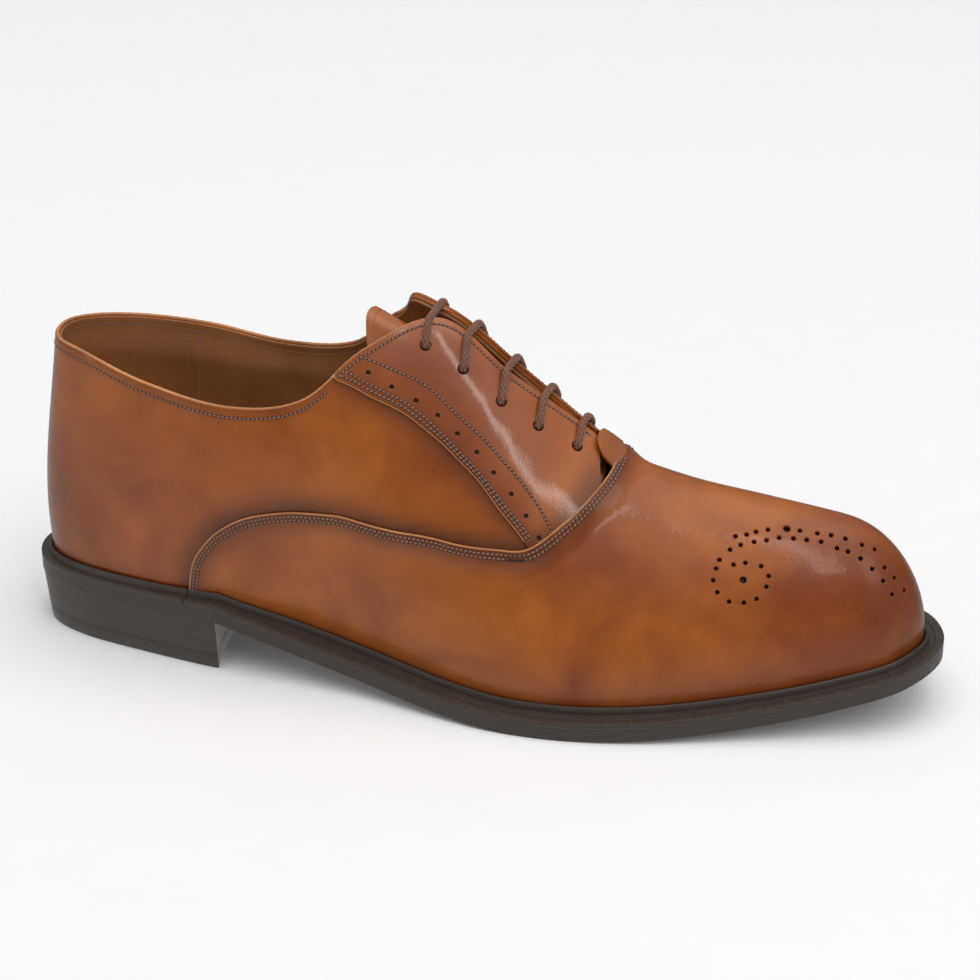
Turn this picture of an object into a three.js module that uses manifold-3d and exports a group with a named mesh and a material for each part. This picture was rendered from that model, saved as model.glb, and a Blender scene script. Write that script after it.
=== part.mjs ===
// Leather oxford shoe, right foot, closed lacing, welted sole. Millimetres, +Z up.
// The last surface is a ring of profiles: station 0 is the heel's back, 14 the toe, and the ring runs
// heel, outer side, toe, inner side, heel. Every leather piece is a patch of that surface, given by its
// edges in (station, height) and by how deep its two faces lie under the shoe's outer face.
import * as THREE from 'three';
import { mergeVertices } from 'three/addons/utils/BufferGeometryUtils.js';
import Module from 'manifold-3d';

const wasm = await Module();
wasm.setup();

// ---- Driving dimensions -----------------------------------------------------------------------
const LENGTH = 300;              // sole, heel to toe
const GIRTH_SCALE = 1;           // widths and heights of the last against the standard fitting
const HEEL_HEIGHT = 17.5;        // heel block, floor to the sole's underside
const HEEL_LENGTH = 75;          // heel block, back to breast
const TOE_SPRING = 17;           // tip of the sole above the floor
const BALL_BACK = 178;           // where the sole's tread begins, from the heel
const BALL_FRONT = 188;          // where the toe begins to lift
const OUTSOLE_THICKNESS = 3.6;
const WELT_THICKNESS = 2.0;
const WELT_JOINT = 3.57;         // station where the welt meets the heel rand
const INSOLE_THICKNESS = 2.2;
const SOCK_THICKNESS = 1.0;
const GAP = 0.3;                 // clearance between neighbouring pieces
const LAYER_GAP = 0.6;           // clearance between one leather layer and the next
const UPPER_LEATHER = 1.3;
const FACING_LEATHER = 1.0;
const LINING_LEATHER = 1.0;
const STIFFENER = 0.8;           // toe puff and heel counter
const TONGUE_LEATHER = 1.0;
const LACE_DIAMETER = 2.6;
const LACE_HOLE_CLEARANCE = 0.9; // all round the lace
const LIFT_COUNT = 3;            // leather lifts in the heel block
const TOP_PIECE_THICKNESS = 5;
const HEEL_TAPER = 1.6;          // the block is this much smaller all round at the floor
const BREAST_HOLLOW = 5;         // depth of the curve in the heel's front face
const NAIL_RADIUS = 0.9;
const SHANK_WIDTH = 14;
const SHANK_THICKNESS = 1.2;
const SHANK_START = 48;
const SHANK_LENGTH = 100;
const HEEL_CENTRE = 38;          // the origin stands here, under the heel
const NAIL_SINK = 1.5;           // how far the nails stand into the top piece
const EYELET_RIM = 1.5;
const EYELET_THICKNESS = 0.5;
const TAB_WIDTH = 12;            // the rounded tab over the throat
const TAB_LENGTH = 8;
const TAB_LEAN = 44;             // degrees it rises towards the throat
const TIP_LENGTH = 24;           // tongue tip beyond the facings
const AGLET_LENGTH = 11;

// Along the seams, in stations of the last.
const BACKSTAY = 0.32;           // half width of the strip up the back
const BACK_SEAM = 0.012;         // half of the gap at the back seam
const LINING_SEAM = 7.93;        // where the quarter lining meets the vamp lining
const BINDING_END = 5.45;        // front end of the topline binding
const COUNTER_REACH = 4.3;       // front end of the heel counter
const TONGUE_START = 8.98;       // where the tongue is sewn in
const TONGUE_TURN = 6.95;        // where its tip leaves the facings' curve

// Depths below the shoe's outer face, outwards positive, worked out from the leathers.
const OUTER = [-UPPER_LEATHER, 0];
const OVERLAY = [LAYER_GAP, LAYER_GAP + FACING_LEATHER];
const STIFF = [OUTER[0] - LAYER_GAP - STIFFENER, OUTER[0] - LAYER_GAP];
const INNER = [STIFF[0] - LAYER_GAP - LINING_LEATHER, STIFF[0] - LAYER_GAP];
const LACE_DEPTH = INNER[0] - LAYER_GAP - LACE_DIAMETER / 2;
const TONGUE_TOP = LACE_DEPTH - LACE_DIAMETER / 2 - 2 * LAYER_GAP;
const LACE_OVER = OVERLAY[1] + LAYER_GAP + LACE_DIAMETER / 2;

// Heights above the sole's underside.
const WELT_BOTTOM = OUTSOLE_THICKNESS + GAP;
const WELT_TOP = WELT_BOTTOM + WELT_THICKNESS;
const UPPER_BOTTOM = WELT_TOP + GAP;
const WELT_EDGE = 0.2;           // welt and heel set back from the outsole's edge
const UNDER_UPPER = 1.2;         // how far the welt reaches in under the upper
const RIDGE_WIDTH = 1.1;         // the welt's ridge against the upper
const RIDGE_HEIGHT = 2.2;
const INSOLE_TOP = UPPER_BOTTOM + INSOLE_THICKNESS;
const SOCK_TOP = INSOLE_TOP + GAP + SOCK_THICKNESS;

// ---- The last ---------------------------------------------------------------------------------
// One row for each station from heel to toe:
// sole edge: x, outer side y, inner side y, welt margin; top of the profile: x, outer y, inner y,
// outer z, inner z; its pull at the top: x, y, z; its pull at the bottom: up, out.
const STATIONS = [
  [0, 0, 0, 4.6, 12.5, 0, 0, 101, 101, -3, 0, -26, 26, 3],
  [6, -15.5, 15.5, 4.2, 17, -15, 15, 101, 99, -2, 3, -26, 26, 3],
  [22, -25, 25, 3.6, 31, -24.5, 24.5, 100, 97, 0, 2, -26, 26, 3.5],
  [48, -31, 30, 3.4, 53, -28.5, 27.5, 93.5, 95, 0, 2, -24, 26, 3.5],
  [76, -35.5, 29.5, 5.5, 80, -29, 26, 88.5, 92, 0, 3, -20, 24, 4],
  [103, -37.2, 26, 8, 104, -27, 23.5, 92.5, 95, 0, 7, -20, 24, 4],
  [128, -40.4, 26.5, 8.2, 122, -18.5, 16.5, 108, 109, 0, 12, -20, 24, 3.5],
  [150, -45.4, 32, 8.2, 142, -4.5, 4.5, 115, 115, 2, 17, -12, 24, 3.5],
  [170, -48.8, 39, 8.2, 165, -3.8, 3.8, 98.5, 98.5, 3, 20, -12, 22, 3.5],
  [192, -48.6, 46.5, 8.2, 196, 0.5, 0.5, 77.5, 77.5, 3, 22, -7, 20, 3.5],
  [216, -44, 47.5, 8.2, 218, 1.5, 1.5, 69, 69, 1, 22, -2, 18, 3.5],
  [243, -35, 45, 7.8, 240, 2.8, 2.8, 65, 65, 2, 20, -1, 17, 3],
  [271, -24.5, 40.5, 7.2, 256, 3.8, 3.8, 62.5, 62.5, 8, 16.5, -1.5, 16, 2.4],
  [291, -14, 30.5, 6.8, 264, 4.3, 4.3, 61.5, 61.5, 14, 10, -2, 15, 2],
  [300, 5.5, 5.5, 6.4, 267, 4.5, 4.5, 61, 61, 17, 0, -2.5, 15, 2],
];
const TOE = STATIONS.length - 1;
const RING = 2 * TOE;
const STANDARD_LENGTH = STATIONS[TOE][0];
const STANDARD_HEEL = 17.5;      // heel height the profiles' tops are drawn for
const alongScale = LENGTH / STANDARD_LENGTH;

function ringRow(index) {
  const k = ((index % RING) + RING) % RING;
  const inner = k > TOE;
  const r = STATIONS[inner ? RING - k : k];
  const side = inner ? 1 : -1;
  const g = GIRTH_SCALE;
  return [
    r[0] * alongScale, (inner ? r[2] : r[1]) * g, r[3],
    r[4] * alongScale, (inner ? r[6] : r[5]) * g, (inner ? r[8] : r[7]) * g,
    r[9], side * r[10] * g, r[11] * g, r[12] * g, r[13] * g,
  ];
}
const ROWS = Array.from({ length: RING }, (_, k) => ringRow(k));

// Catmull-Rom through the rows, round the ring.
function splineAt(w) {
  const i = Math.floor(w);
  const t = w - i;
  const [a, b, c, d] = [-1, 0, 1, 2].map((j) => ROWS[(((i + j) % RING) + RING) % RING]);
  return b.map((_, n) => 0.5 * (2 * b[n] + (c[n] - a[n]) * t
    + (2 * a[n] - 5 * b[n] + 4 * c[n] - d[n]) * t * t
    + (3 * b[n] - a[n] - 3 * c[n] + d[n]) * t ** 3));
}

// In front of the throat both sides meet in one ridge, which the slit runs into smoothly.
const THROAT = 9;
const ROW_TOP_Y = 4;
function rowAt(w) {
  const row = splineAt(w);
  const k = Math.min(((w % RING) + RING) % RING, ((-w % RING) + RING) % RING);
  if (k <= THROAT - 1) return row;
  const ridge = (row[ROW_TOP_Y] + splineAt(RING - w)[ROW_TOP_Y]) / 2;
  const slit = 1 - Math.min(k - THROAT + 1, 1) ** 4;
  row[ROW_TOP_Y] = ridge + (row[ROW_TOP_Y] - ridge) * slit;
  return row;
}

// Height of the sole's underside above the floor.
const ballBack = BALL_BACK * alongScale;
const ballFront = BALL_FRONT * alongScale;
function soleHeight(x) {
  if (x <= HEEL_LENGTH) return HEEL_HEIGHT;
  if (x < ballBack) return HEEL_HEIGHT * ((ballBack - x) / (ballBack - HEEL_LENGTH)) ** 1.6;
  if (x < ballFront) return 0;
  return TOE_SPRING * ((x - ballFront) / (LENGTH - ballFront)) ** 2;
}

// A point on the sole edge, moved inwards by inset, as [x, y].
function edgeAt(w, inset) {
  const step = 1e-3;
  const p = rowAt(w);
  const a = rowAt(w - step);
  const b = rowAt(w + step);
  const tx = b[0] - a[0];
  const ty = b[1] - a[1];
  const length = Math.hypot(tx, ty);
  const nx = ty / length;
  const ny = -tx / length;
  return { x: p[0] - nx * inset, y: p[1] - ny * inset, nx, ny };
}

// The inner facing's upper corner stands a little higher than the outer one's.
const CORNER_STATION = 21.5;
const CORNER_SPREAD = 0.28;
const CORNER_RISE = new THREE.Vector3(-3, 0, 3.3);

// The upper's outer face at ring station w and height v, 0 at the welt and 1 at the top.
function lastPoint(w, v) {
  const row = rowAt(w);
  const foot = edgeAt(w, row[2]);
  const base = soleHeight(foot.x) + UPPER_BOTTOM;
  const p0 = [foot.x, foot.y, base];
  const p1 = [foot.x + foot.nx * row[10], foot.y + foot.ny * row[10], base + row[9]];
  const rise = (HEEL_HEIGHT - STANDARD_HEEL) * Math.max(0, 1 - row[3] / ballBack);
  const p3 = [row[3], row[4], row[5] + rise];
  const p2 = [p3[0] + row[6], p3[1] + row[7], p3[2] + row[8]];
  const u = 1 - v;
  const point = new THREE.Vector3(...p0.map((_, n) =>
    u ** 3 * p0[n] + 3 * u * u * v * p1[n] + 3 * u * v * v * p2[n] + v ** 3 * p3[n]));
  const upper = THREE.MathUtils.smoothstep(v, 0.8, 1);
  const corner = upper * Math.exp(-(((w - CORNER_STATION) / CORNER_SPREAD) ** 2));
  return point.addScaledVector(CORNER_RISE, corner * GIRTH_SCALE);
}

function sideNormal(w, v) {
  const step = 1e-3;
  const along = lastPoint(w + step, v).sub(lastPoint(w - step, v));
  const up = lastPoint(w, Math.min(v + step, 1.05)).sub(lastPoint(w, v - step));
  return along.cross(up).normalize();
}

// Outward normal; along the ridge of the vamp it stands square to the ridge line.
const RIDGE_END = TOE - 0.4;
function lastNormal(w, v) {
  const station = Math.min(w, RING - w);
  if (v < 0.999 || station <= THROAT + 0.01) return sideNormal(w, v);
  const reach = 0.15;
  const middle = Math.min(station, RIDGE_END);
  const run = lastPoint(middle + reach, 1).sub(lastPoint(middle - reach, 1));
  return new THREE.Vector3(-run.z, 0, run.x).normalize();
}

function skin(w, v, depth) {
  return lastPoint(w, v).addScaledVector(lastNormal(w, v), depth);
}

// ---- Solid building ---------------------------------------------------------------------------
// A closed body from two grids of points, the front one seen from outside.
function bodyFromGrids(front, back) {
  const ids = new Map();
  const points = [];
  const idOf = (p) => {
    const key = `${Math.round(p.x * 500)},${Math.round(p.y * 500)},${Math.round(p.z * 500)}`;
    if (!ids.has(key)) {
      ids.set(key, points.length / 3);
      points.push(p.x, p.y, p.z);
    }
    return ids.get(key);
  };
  const f = front.map((line) => line.map(idOf));
  const b = back.map((line) => line.map(idOf));
  const faces = [];
  const quad = (p, q, r, s) => {
    [[p, q, r], [p, r, s]].filter((t) => new Set(t).size === 3).forEach((t) => faces.push(t));
  };
  // Two edges that meet share a wall, and neither keeps it.
  const walls = new Map();
  const wall = (...corners) => {
    const key = [...corners].sort((m, n) => m - n).join();
    if (walls.has(key)) walls.delete(key);
    else walls.set(key, corners);
  };
  const last = f.length - 1;
  const end = f[0].length - 1;
  for (let i = 0; i < last; i += 1) {
    for (let j = 0; j < end; j += 1) {
      quad(f[i][j], f[i + 1][j], f[i + 1][j + 1], f[i][j + 1]);
      quad(b[i][j], b[i][j + 1], b[i + 1][j + 1], b[i + 1][j]);
    }
    wall(f[i][0], b[i][0], b[i + 1][0], f[i + 1][0]);
    wall(f[i + 1][end], b[i + 1][end], b[i][end], f[i][end]);
  }
  for (let j = 0; j < end; j += 1) {
    wall(f[0][j], f[0][j + 1], b[0][j + 1], b[0][j]);
    wall(f[last][j + 1], f[last][j], b[last][j], b[last][j + 1]);
  }
  walls.forEach((corners) => quad(...corners));
  const geometry = new THREE.BufferGeometry();
  geometry.setAttribute('position', new THREE.Float32BufferAttribute(points, 3));
  geometry.setIndex(faces.flat());
  return geometry;
}

// A leather patch: columns is a list of [w, low v, high v], depths its inner and outer face.
function patch(columns, rowsUp, depths) {
  const grid = (depth) => columns.map(([w, low, high]) =>
    Array.from({ length: rowsUp + 1 }, (_, j) => skin(w, low + ((high - low) * j) / rowsUp, depth)));
  return bodyFromGrids(grid(depths[1]), grid(depths[0]));
}

// The highest v at a station that keeps a face at this depth clear of the slit between the facings.
const HALF_SLIT = 1.0;
function topOf(w, depth) {
  const station = Math.min(w, RING - w);
  if (station < STATIONS.length / 2 - 1 || station > THROAT + 0.06) return 1;
  const side = w > TOE ? 1 : -1;
  let v = 1;
  while (v > 0.5 && side * skin(w, v, depth).y < HALF_SLIT) v -= 0.005;
  return v;
}

function steps(from, to, count) {
  return Array.from({ length: count + 1 }, (_, i) => from + ((to - from) * i) / count);
}

// The station at which the sole edge reaches x.
function stationAt(x) {
  let low = 0;
  let high = TOE;
  for (let i = 0; i < 40; i += 1) {
    const middle = (low + high) / 2;
    if (rowAt(middle)[0] < x) low = middle;
    else high = middle;
  }
  return low;
}
const BENDS = [HEEL_LENGTH, ballBack, ballFront].map(stationAt);

// The sole bends at the heel breast and at the tread, so every layer has a line of points there.
function withBends(stations) {
  const added = BENDS.flatMap((w) => [w, -w, RING - w])
    .filter((w) => w > stations[0] && w < stations.at(-1));
  return [...stations, ...added].sort((a, b) => a - b);
}

// A plate that follows the sole's curve, inset from the sole edge, between two heights.
function solePlate(inset, low, high, from = 0, to = TOE, count = 26, across = 3) {
  const line = (w, height) => {
    const a = edgeAt(w, inset(w));
    const b = edgeAt(RING - w, inset(RING - w));
    return Array.from({ length: across + 1 }, (_, j) => {
      const x = a.x + ((b.x - a.x) * j) / across;
      return new THREE.Vector3(x, a.y + ((b.y - a.y) * j) / across, soleHeight(x) + height);
    });
  };
  const stations = withBends(steps(from, to, count));
  return bodyFromGrids(stations.map((w) => line(w, high)), stations.map((w) => line(w, low)));
}

const margin = (w) => rowAt(w)[2];

// The welt's section: flat on top, with a ridge that stands up against the foot of the upper.
function weltLine(w, flat) {
  const foot = margin(w) - LAYER_GAP;
  const under = margin(w) + UNDER_UPPER;
  const top = [
    [WELT_EDGE, WELT_TOP], [foot - RIDGE_WIDTH, WELT_TOP], [foot - RIDGE_WIDTH, WELT_TOP + RIDGE_HEIGHT],
    [foot, WELT_TOP + RIDGE_HEIGHT], [foot, WELT_TOP], [under, WELT_TOP],
  ];
  return top.map(([inset, height]) => {
    const p = edgeAt(w, inset);
    return new THREE.Vector3(p.x, p.y, soleHeight(p.x) + (flat ? WELT_BOTTOM : height));
  });
}

function weltStrip(from, to, count) {
  const stations = withBends(steps(from, to, count));
  return bodyFromGrids(stations.map((w) => weltLine(w, false)), stations.map((w) => weltLine(w, true)));
}

// ---- Booleans ---------------------------------------------------------------------------------
function toSolid(geometry) {
  const clean = geometry.clone();
  clean.deleteAttribute('normal');
  clean.deleteAttribute('uv');
  const merged = mergeVertices(clean, 1e-4);
  return new wasm.Manifold(new wasm.Mesh({
    numProp: 3,
    vertProperties: new Float32Array(merged.attributes.position.array),
    triVerts: new Uint32Array(merged.index.array),
  }));
}

function fromSolid(solid) {
  const mesh = solid.getMesh();
  const geometry = new THREE.BufferGeometry();
  geometry.setAttribute('position', new THREE.BufferAttribute(new Float32Array(mesh.vertProperties), 3));
  geometry.setIndex(new THREE.BufferAttribute(new Uint32Array(mesh.triVerts), 1));
  return geometry;
}

function cut(geometry, tools) {
  return fromSolid(tools.reduce((solid, tool) => solid.subtract(toSolid(tool)), toSolid(geometry)));
}

// A geometry turned so that its Y axis lies along a direction, and moved to a point.
function place(geometry, point, direction) {
  const turn = new THREE.Quaternion().setFromUnitVectors(new THREE.Vector3(0, 1, 0), direction);
  return geometry.applyQuaternion(turn).translate(point.x, point.y, point.z);
}

// ---- Seams, in (station, height) --------------------------------------------------------------
// The vamp's upper edge: up from the welt behind the waist, along the side and up to the throat.
const VAMP_SEAM = [
  [3.58, 0.02], [3.67, 0.17], [3.89, 0.315], [4.26, 0.45], [4.84, 0.52], [5.49, 0.5], [5.97, 0.46],
  [6.58, 0.42], [7.22, 0.415], [7.9, 0.465], [8.33, 0.51], [8.6, 0.6], [8.83, 0.715], [9.01, 0.86],
  [9.07, 1],
];
// The facing's swan-neck edge, from the topline down to the vamp.
const SWAN_NECK = [
  [5.53, 0.985], [6.04, 0.835], [6.48, 0.73], [6.9, 0.65], [7.29, 0.615], [7.68, 0.6], [8, 0.565],
  [8.28, 0.522],
];
const EYELETS = [[6.83, 0.885], [7.36, 0.85], [7.88, 0.86], [8.28, 0.865], [8.64, 0.88]];

function curvePoints(points, count) {
  const corners = points.map(([w, v]) => new THREE.Vector3(w, v, 0));
  const curve = new THREE.CatmullRomCurve3(corners, false, 'centripetal');
  return curve.getPoints(count).map((p) => [p.x, p.y]);
}

// A seam line shifted sideways over the last by a distance, to leave a gap beside it.
function shifted(points, distance) {
  return points.map(([w, v], i) => {
    const before = points[Math.max(i - 1, 0)];
    const after = points[Math.min(i + 1, points.length - 1)];
    const step = 0.01;
    const perW = lastPoint(w + step, v).distanceTo(lastPoint(w, v)) / step;
    const perV = lastPoint(w, v + step).distanceTo(lastPoint(w, v)) / step;
    const dw = (after[0] - before[0]) * perW;
    const dv = (after[1] - before[1]) * perV;
    const length = Math.hypot(dw, dv);
    return [w - (dv / length) * (distance / perW), v + (dw / length) * (distance / perV)];
  });
}

// The vamp's edge, with a point at each bend of the sole.
const seamCurve = curvePoints(VAMP_SEAM, 22);
const seamBends = BENDS.filter((w) => w > seamCurve[0][0] && w < seamCurve.at(-1)[0]).map((w) => {
  const next = seamCurve.findIndex(([station]) => station > w);
  const [a, b] = [seamCurve[next - 1], seamCurve[next]];
  return [w, a[1] + ((b[1] - a[1]) * (w - a[0])) / (b[0] - a[0])];
});
const seamLine = [...seamCurve, ...seamBends].sort((a, b) => a[0] - b[0]);
const quarterFoot = shifted(seamLine, GAP + 0.1).filter(([, v]) => v < 1);
const mirrored = (columns) => columns.map(([w, low, high]) => [RING - w, low, high]).reverse();

// The vamp, its lining and the toe puff share these stations and rows, so their faces run parallel.
const RIDGE_STATIONS = steps(VAMP_SEAM.at(-1)[0], TOE, 10);
const VAMP_ROWS = 7;
function vampColumns() {
  const side = seamLine.map(([w, v]) => [w, 0, Math.min(v, 1)]);
  const front = RIDGE_STATIONS.slice(1).map((w) => [w, 0, 1]);
  const half = [...side, ...front];
  return [...half, ...mirrored(half.slice(0, -1))];
}

// Stations closer than this to a corner of a patch are left out, and so are columns shorter than that.
const CORNER = 0.05;
const SHORTEST = 0.025;
function quarterColumns() {
  const corner = VAMP_SEAM[0][0] - CORNER;
  const rear = steps(BACK_SEAM, corner, 7).map((w) => [w, 0, 1]);
  const front = quarterFoot.map(([w, v]) => [w, v, topOf(w, OUTER[0])]);
  return [...rear, ...front.filter(([w, low, high]) => w > corner && high - low > SHORTEST)];
}

function facingColumns() {
  const corner = SWAN_NECK.at(-1)[0] + CORNER;
  const front = quarterFoot.filter(([w]) => w > corner);
  return [...curvePoints(SWAN_NECK, 12), ...front].map(([w, v]) => [w, v, topOf(w, OVERLAY[0])])
    .filter(([w, low, high]) => w < corner || high - low > SHORTEST);
}

// ---- Parts ------------------------------------------------------------------------------------
const shoe = new THREE.Group();
shoe.position.x = -HEEL_CENTRE;

const FINISH = {
  tan: [0xb0692b, 0.35, 0],
  brown: [0x6e3a1c, 0.4, 0],
  lining: [0xa87448, 0.7, 0],
  edge: [0x3a332e, 0.5, 0],
  sole: [0x8a6a48, 0.7, 0],
  cork: [0xa9825a, 0.9, 0],
  steel: [0x8f9296, 0.4, 1],
  lace: [0x5a3420, 0.7, 0],
  rubber: [0x2a2725, 0.8, 0],
};

function add(name, geometry, finish) {
  const [color, roughness, metalness] = FINISH[finish];
  const mesh = new THREE.Mesh(geometry, new THREE.MeshStandardMaterial({ color, roughness, metalness }));
  mesh.name = name;
  shoe.add(mesh);
  return mesh;
}

// Outer side first; the inner side is the same patch on the other half of the ring.
function addPair(name, columns, rowsUp, depths, finish, tools) {
  [['lateral', columns], ['medial', mirrored(columns)]].forEach(([side, list], i) => {
    const body = patch(list, rowsUp, depths);
    add(`${name}_${side}`, tools ? cut(body, tools[i]) : body, finish);
  });
}

// Sole and heel.
const JOINT_GAP = 0.015;         // at each side of the welt's joint, in stations
const SHANK_RAISE = 0.4;         // shank above the outsole, on its bed of paste
const SHANK_SIDE = -2;           // shank's middle line, towards the outer side
const SLOT_MARGIN = 1;           // a cutting body goes this far beyond the piece it cuts
function buildSole() {
  add('outsole', solePlate(() => 0, 0, OUTSOLE_THICKNESS, 0, TOE, 30, 3), 'edge');
  const under = (w) => margin(w) + UNDER_UPPER;
  const weltEnd = WELT_JOINT + JOINT_GAP;
  const randEnd = WELT_JOINT - JOINT_GAP;
  add('welt', weltStrip(weltEnd, RING - weltEnd, 46), 'edge');
  add('heel_rand', weltStrip(-randEnd, randEnd, 18), 'edge');
  const shankBar = (room, low, high) => {
    const half = SHANK_WIDTH / 2 + room;
    const grid = (height) => steps(SHANK_START - room, SHANK_START + SHANK_LENGTH + room, 10).map((x) =>
      [-half, half].map((y) => new THREE.Vector3(x, SHANK_SIDE + y, soleHeight(x) + height)));
    return bodyFromGrids(grid(high), grid(low));
  };
  const shankLow = WELT_BOTTOM + SHANK_RAISE;
  add('shank', shankBar(0, shankLow, shankLow + SHANK_THICKNESS), 'steel');
  const slot = shankBar(GAP, WELT_BOTTOM - SLOT_MARGIN, WELT_TOP + SLOT_MARGIN);
  const filler = solePlate((w) => under(w) + LAYER_GAP, WELT_BOTTOM, WELT_TOP, 0, TOE, 34, 2);
  add('cork_filler', cut(filler, [slot]), 'cork');
  const inside = (w) => margin(w) - INNER[0] + GAP;
  add('insole', solePlate(inside, UPPER_BOTTOM, INSOLE_TOP, 0, TOE, 26, 2), 'sole');
  const liner = solePlate((w) => inside(w) + 2 * GAP, INSOLE_TOP + GAP, SOCK_TOP, 0, TOE, 26, 2);
  add('sock_liner', liner, 'lining');
}

// The heel block's outline at a height, inset a little more towards the floor.
function heelShape(inset) {
  const reach = stationAt(HEEL_LENGTH);
  const back = steps(-reach, reach, 22).map((w) => edgeAt(w, inset)).filter((p) => p.x < HEEL_LENGTH - GAP);
  const outer = back.at(-1);
  const inner = back[0];
  const shape = new THREE.Shape();
  shape.moveTo(inner.x, inner.y);
  back.slice(1).forEach((p) => shape.lineTo(p.x, p.y));
  shape.lineTo(HEEL_LENGTH, outer.y);
  shape.quadraticCurveTo(HEEL_LENGTH - 2 * BREAST_HOLLOW, (inner.y + outer.y) / 2, HEEL_LENGTH, inner.y);
  shape.closePath();
  return shape;
}

const NAILS = [[18, -13], [18, 13], [50, -18], [50, 15]];
function buildHeel() {
  const bar = (x, y, radius, low, length) => new THREE.CylinderGeometry(radius, radius, length, 8)
    .rotateX(Math.PI / 2).translate(x, y, low + length / 2);
  const holeLow = TOP_PIECE_THICKNESS - NAIL_SINK;
  const holes = NAILS.map(([x, y]) => bar(x, y, NAIL_RADIUS + GAP, holeLow, HEEL_HEIGHT));
  const liftSpace = HEEL_HEIGHT - TOP_PIECE_THICKNESS - GAP;
  const liftPitch = liftSpace / LIFT_COUNT;
  const insetAt = (z) => WELT_EDGE + HEEL_TAPER * (1 - z / HEEL_HEIGHT);
  const slab = (low, thickness) => new THREE.ExtrudeGeometry(heelShape(insetAt(low + thickness / 2)),
    { depth: thickness, bevelEnabled: false, curveSegments: 8 }).translate(0, 0, low);
  add('heel_top_piece', cut(slab(0, TOP_PIECE_THICKNESS), holes), 'rubber');
  for (let i = 0; i < LIFT_COUNT; i += 1) {
    const low = TOP_PIECE_THICKNESS + GAP + i * liftPitch;
    add(`heel_lift_${i + 1}`, cut(slab(low, liftPitch - GAP), holes), 'edge');
  }
  const nailLow = holeLow + GAP;
  const nailLength = HEEL_HEIGHT - GAP - nailLow;
  NAILS.forEach(([x, y], i) => {
    add(`heel_nail_${i + 1}`, bar(x, y, NAIL_RADIUS, nailLow, nailLength), 'steel');
  });
}

// Holes for the lace, bored square to the leather.
const HOLE_RADIUS = LACE_DIAMETER / 2 + LACE_HOLE_CLEARANCE;
const BORE_LENGTH = 2 * (OVERLAY[1] - INNER[0]) + 2 * LAYER_GAP;
function laceHoles(side, radius) {
  return EYELETS.map(([w, v]) => {
    const at = side ? RING - w : w;
    const bore = new THREE.CylinderGeometry(radius, radius, BORE_LENGTH, 10);
    return place(bore, lastPoint(at, v), lastNormal(at, v));
  });
}

const COUNTER_HEIGHT = 0.62;     // at the back, as a share of the last's height
const COUNTER_FALL = 0.4;        // how much lower it is at its front ends
const BINDING_DEPTH = [0.965, 1.012];
const BACKSTAY_FOOT = 0.05;      // clear of the welt's ridge
function buildUpper() {
  const holes = [laceHoles(0, HOLE_RADIUS), laceHoles(1, HOLE_RADIUS)];
  const liningHoles = [laceHoles(0, HOLE_RADIUS + GAP), laceHoles(1, HOLE_RADIUS + GAP)];
  add('vamp', patch(vampColumns(), VAMP_ROWS, OUTER), 'tan');
  addPair('quarter', quarterColumns(), 7, OUTER, 'tan', holes);
  addPair('facing', facingColumns(), 4, OVERLAY, 'tan', holes);
  const lined = steps(BACK_SEAM, LINING_SEAM, 16).map((w) => [w, 0, topOf(w, INNER[0])]);
  addPair('quarter_lining', lined, 9, INNER, 'lining', liningHoles);
  const vampLiningStart = LINING_SEAM + 2 * BACK_SEAM;
  const liningHalf = [...steps(vampLiningStart, RIDGE_STATIONS[0], 3), ...RIDGE_STATIONS.slice(1)]
    .map((w) => [w, 0, topOf(w, INNER[0])]);
  add('vamp_lining', cut(patch([...liningHalf, ...mirrored(liningHalf.slice(0, -1))], VAMP_ROWS, INNER),
    liningHoles.flat()), 'lining');
  const puffHalf = RIDGE_STATIONS.slice(5).map((w) => [w, 0, 1]);
  add('toe_puff', patch([...puffHalf, ...mirrored(puffHalf.slice(0, -1))], VAMP_ROWS, STIFF), 'cork');
  const counter = steps(-COUNTER_REACH, COUNTER_REACH, 20)
    .map((w) => [w, 0.02, COUNTER_HEIGHT - COUNTER_FALL * (w / COUNTER_REACH) ** 2]);
  add('heel_counter', patch(counter, 5, STIFF), 'cork');
  const stay = steps(-BACKSTAY, BACKSTAY, 4).map((w) => [w, BACKSTAY_FOOT, 0.985]);
  add('backstay', patch(stay, 8, OVERLAY), 'brown');
  const binding = steps(-BINDING_END, BINDING_END, 34).map((w) => [w, ...BINDING_DEPTH]);
  add('topline_binding', patch(binding, 1, STIFF), 'tan');
  ['lateral', 'medial'].forEach((side, s) => EYELETS.forEach(([w, v], i) => {
    const at = s ? RING - w : w;
    const outline = [[0, 0], [EYELET_RIM, 0], [EYELET_RIM, EYELET_THICKNESS], [0, EYELET_THICKNESS], [0, 0]];
    const profile = outline.map(([r, y]) => new THREE.Vector2(HOLE_RADIUS + r, y));
    const seat = skin(at, v, (STIFF[0] + STIFF[1] - EYELET_THICKNESS) / 2);
    const ring = place(new THREE.LatheGeometry(profile, 12), seat, lastNormal(at, v));
    add(`eyelet_${side}_${i + 1}`, ring, 'brown');
  }));
}

// The tongue: a leather and its lining, under the facings and the lace. It follows the facings up
// to the last eyelet, and its rounded tip runs straight on and out above them.
const ARCH_HEIGHTS = [0.66, 0.74, 0.82, 0.9, 0.95];
const ARCH_CLEAR = 2.5;          // the arch runs freely where the two sides come closer than this
const TIP_WIDE = 0.8;            // width at the turn, as a share of the arch
const TIP_WAY = new THREE.Vector3(-0.9, 0, 0.43).normalize();
const LINING_TRIM = 1;           // the tongue lining is this much smaller

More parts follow.
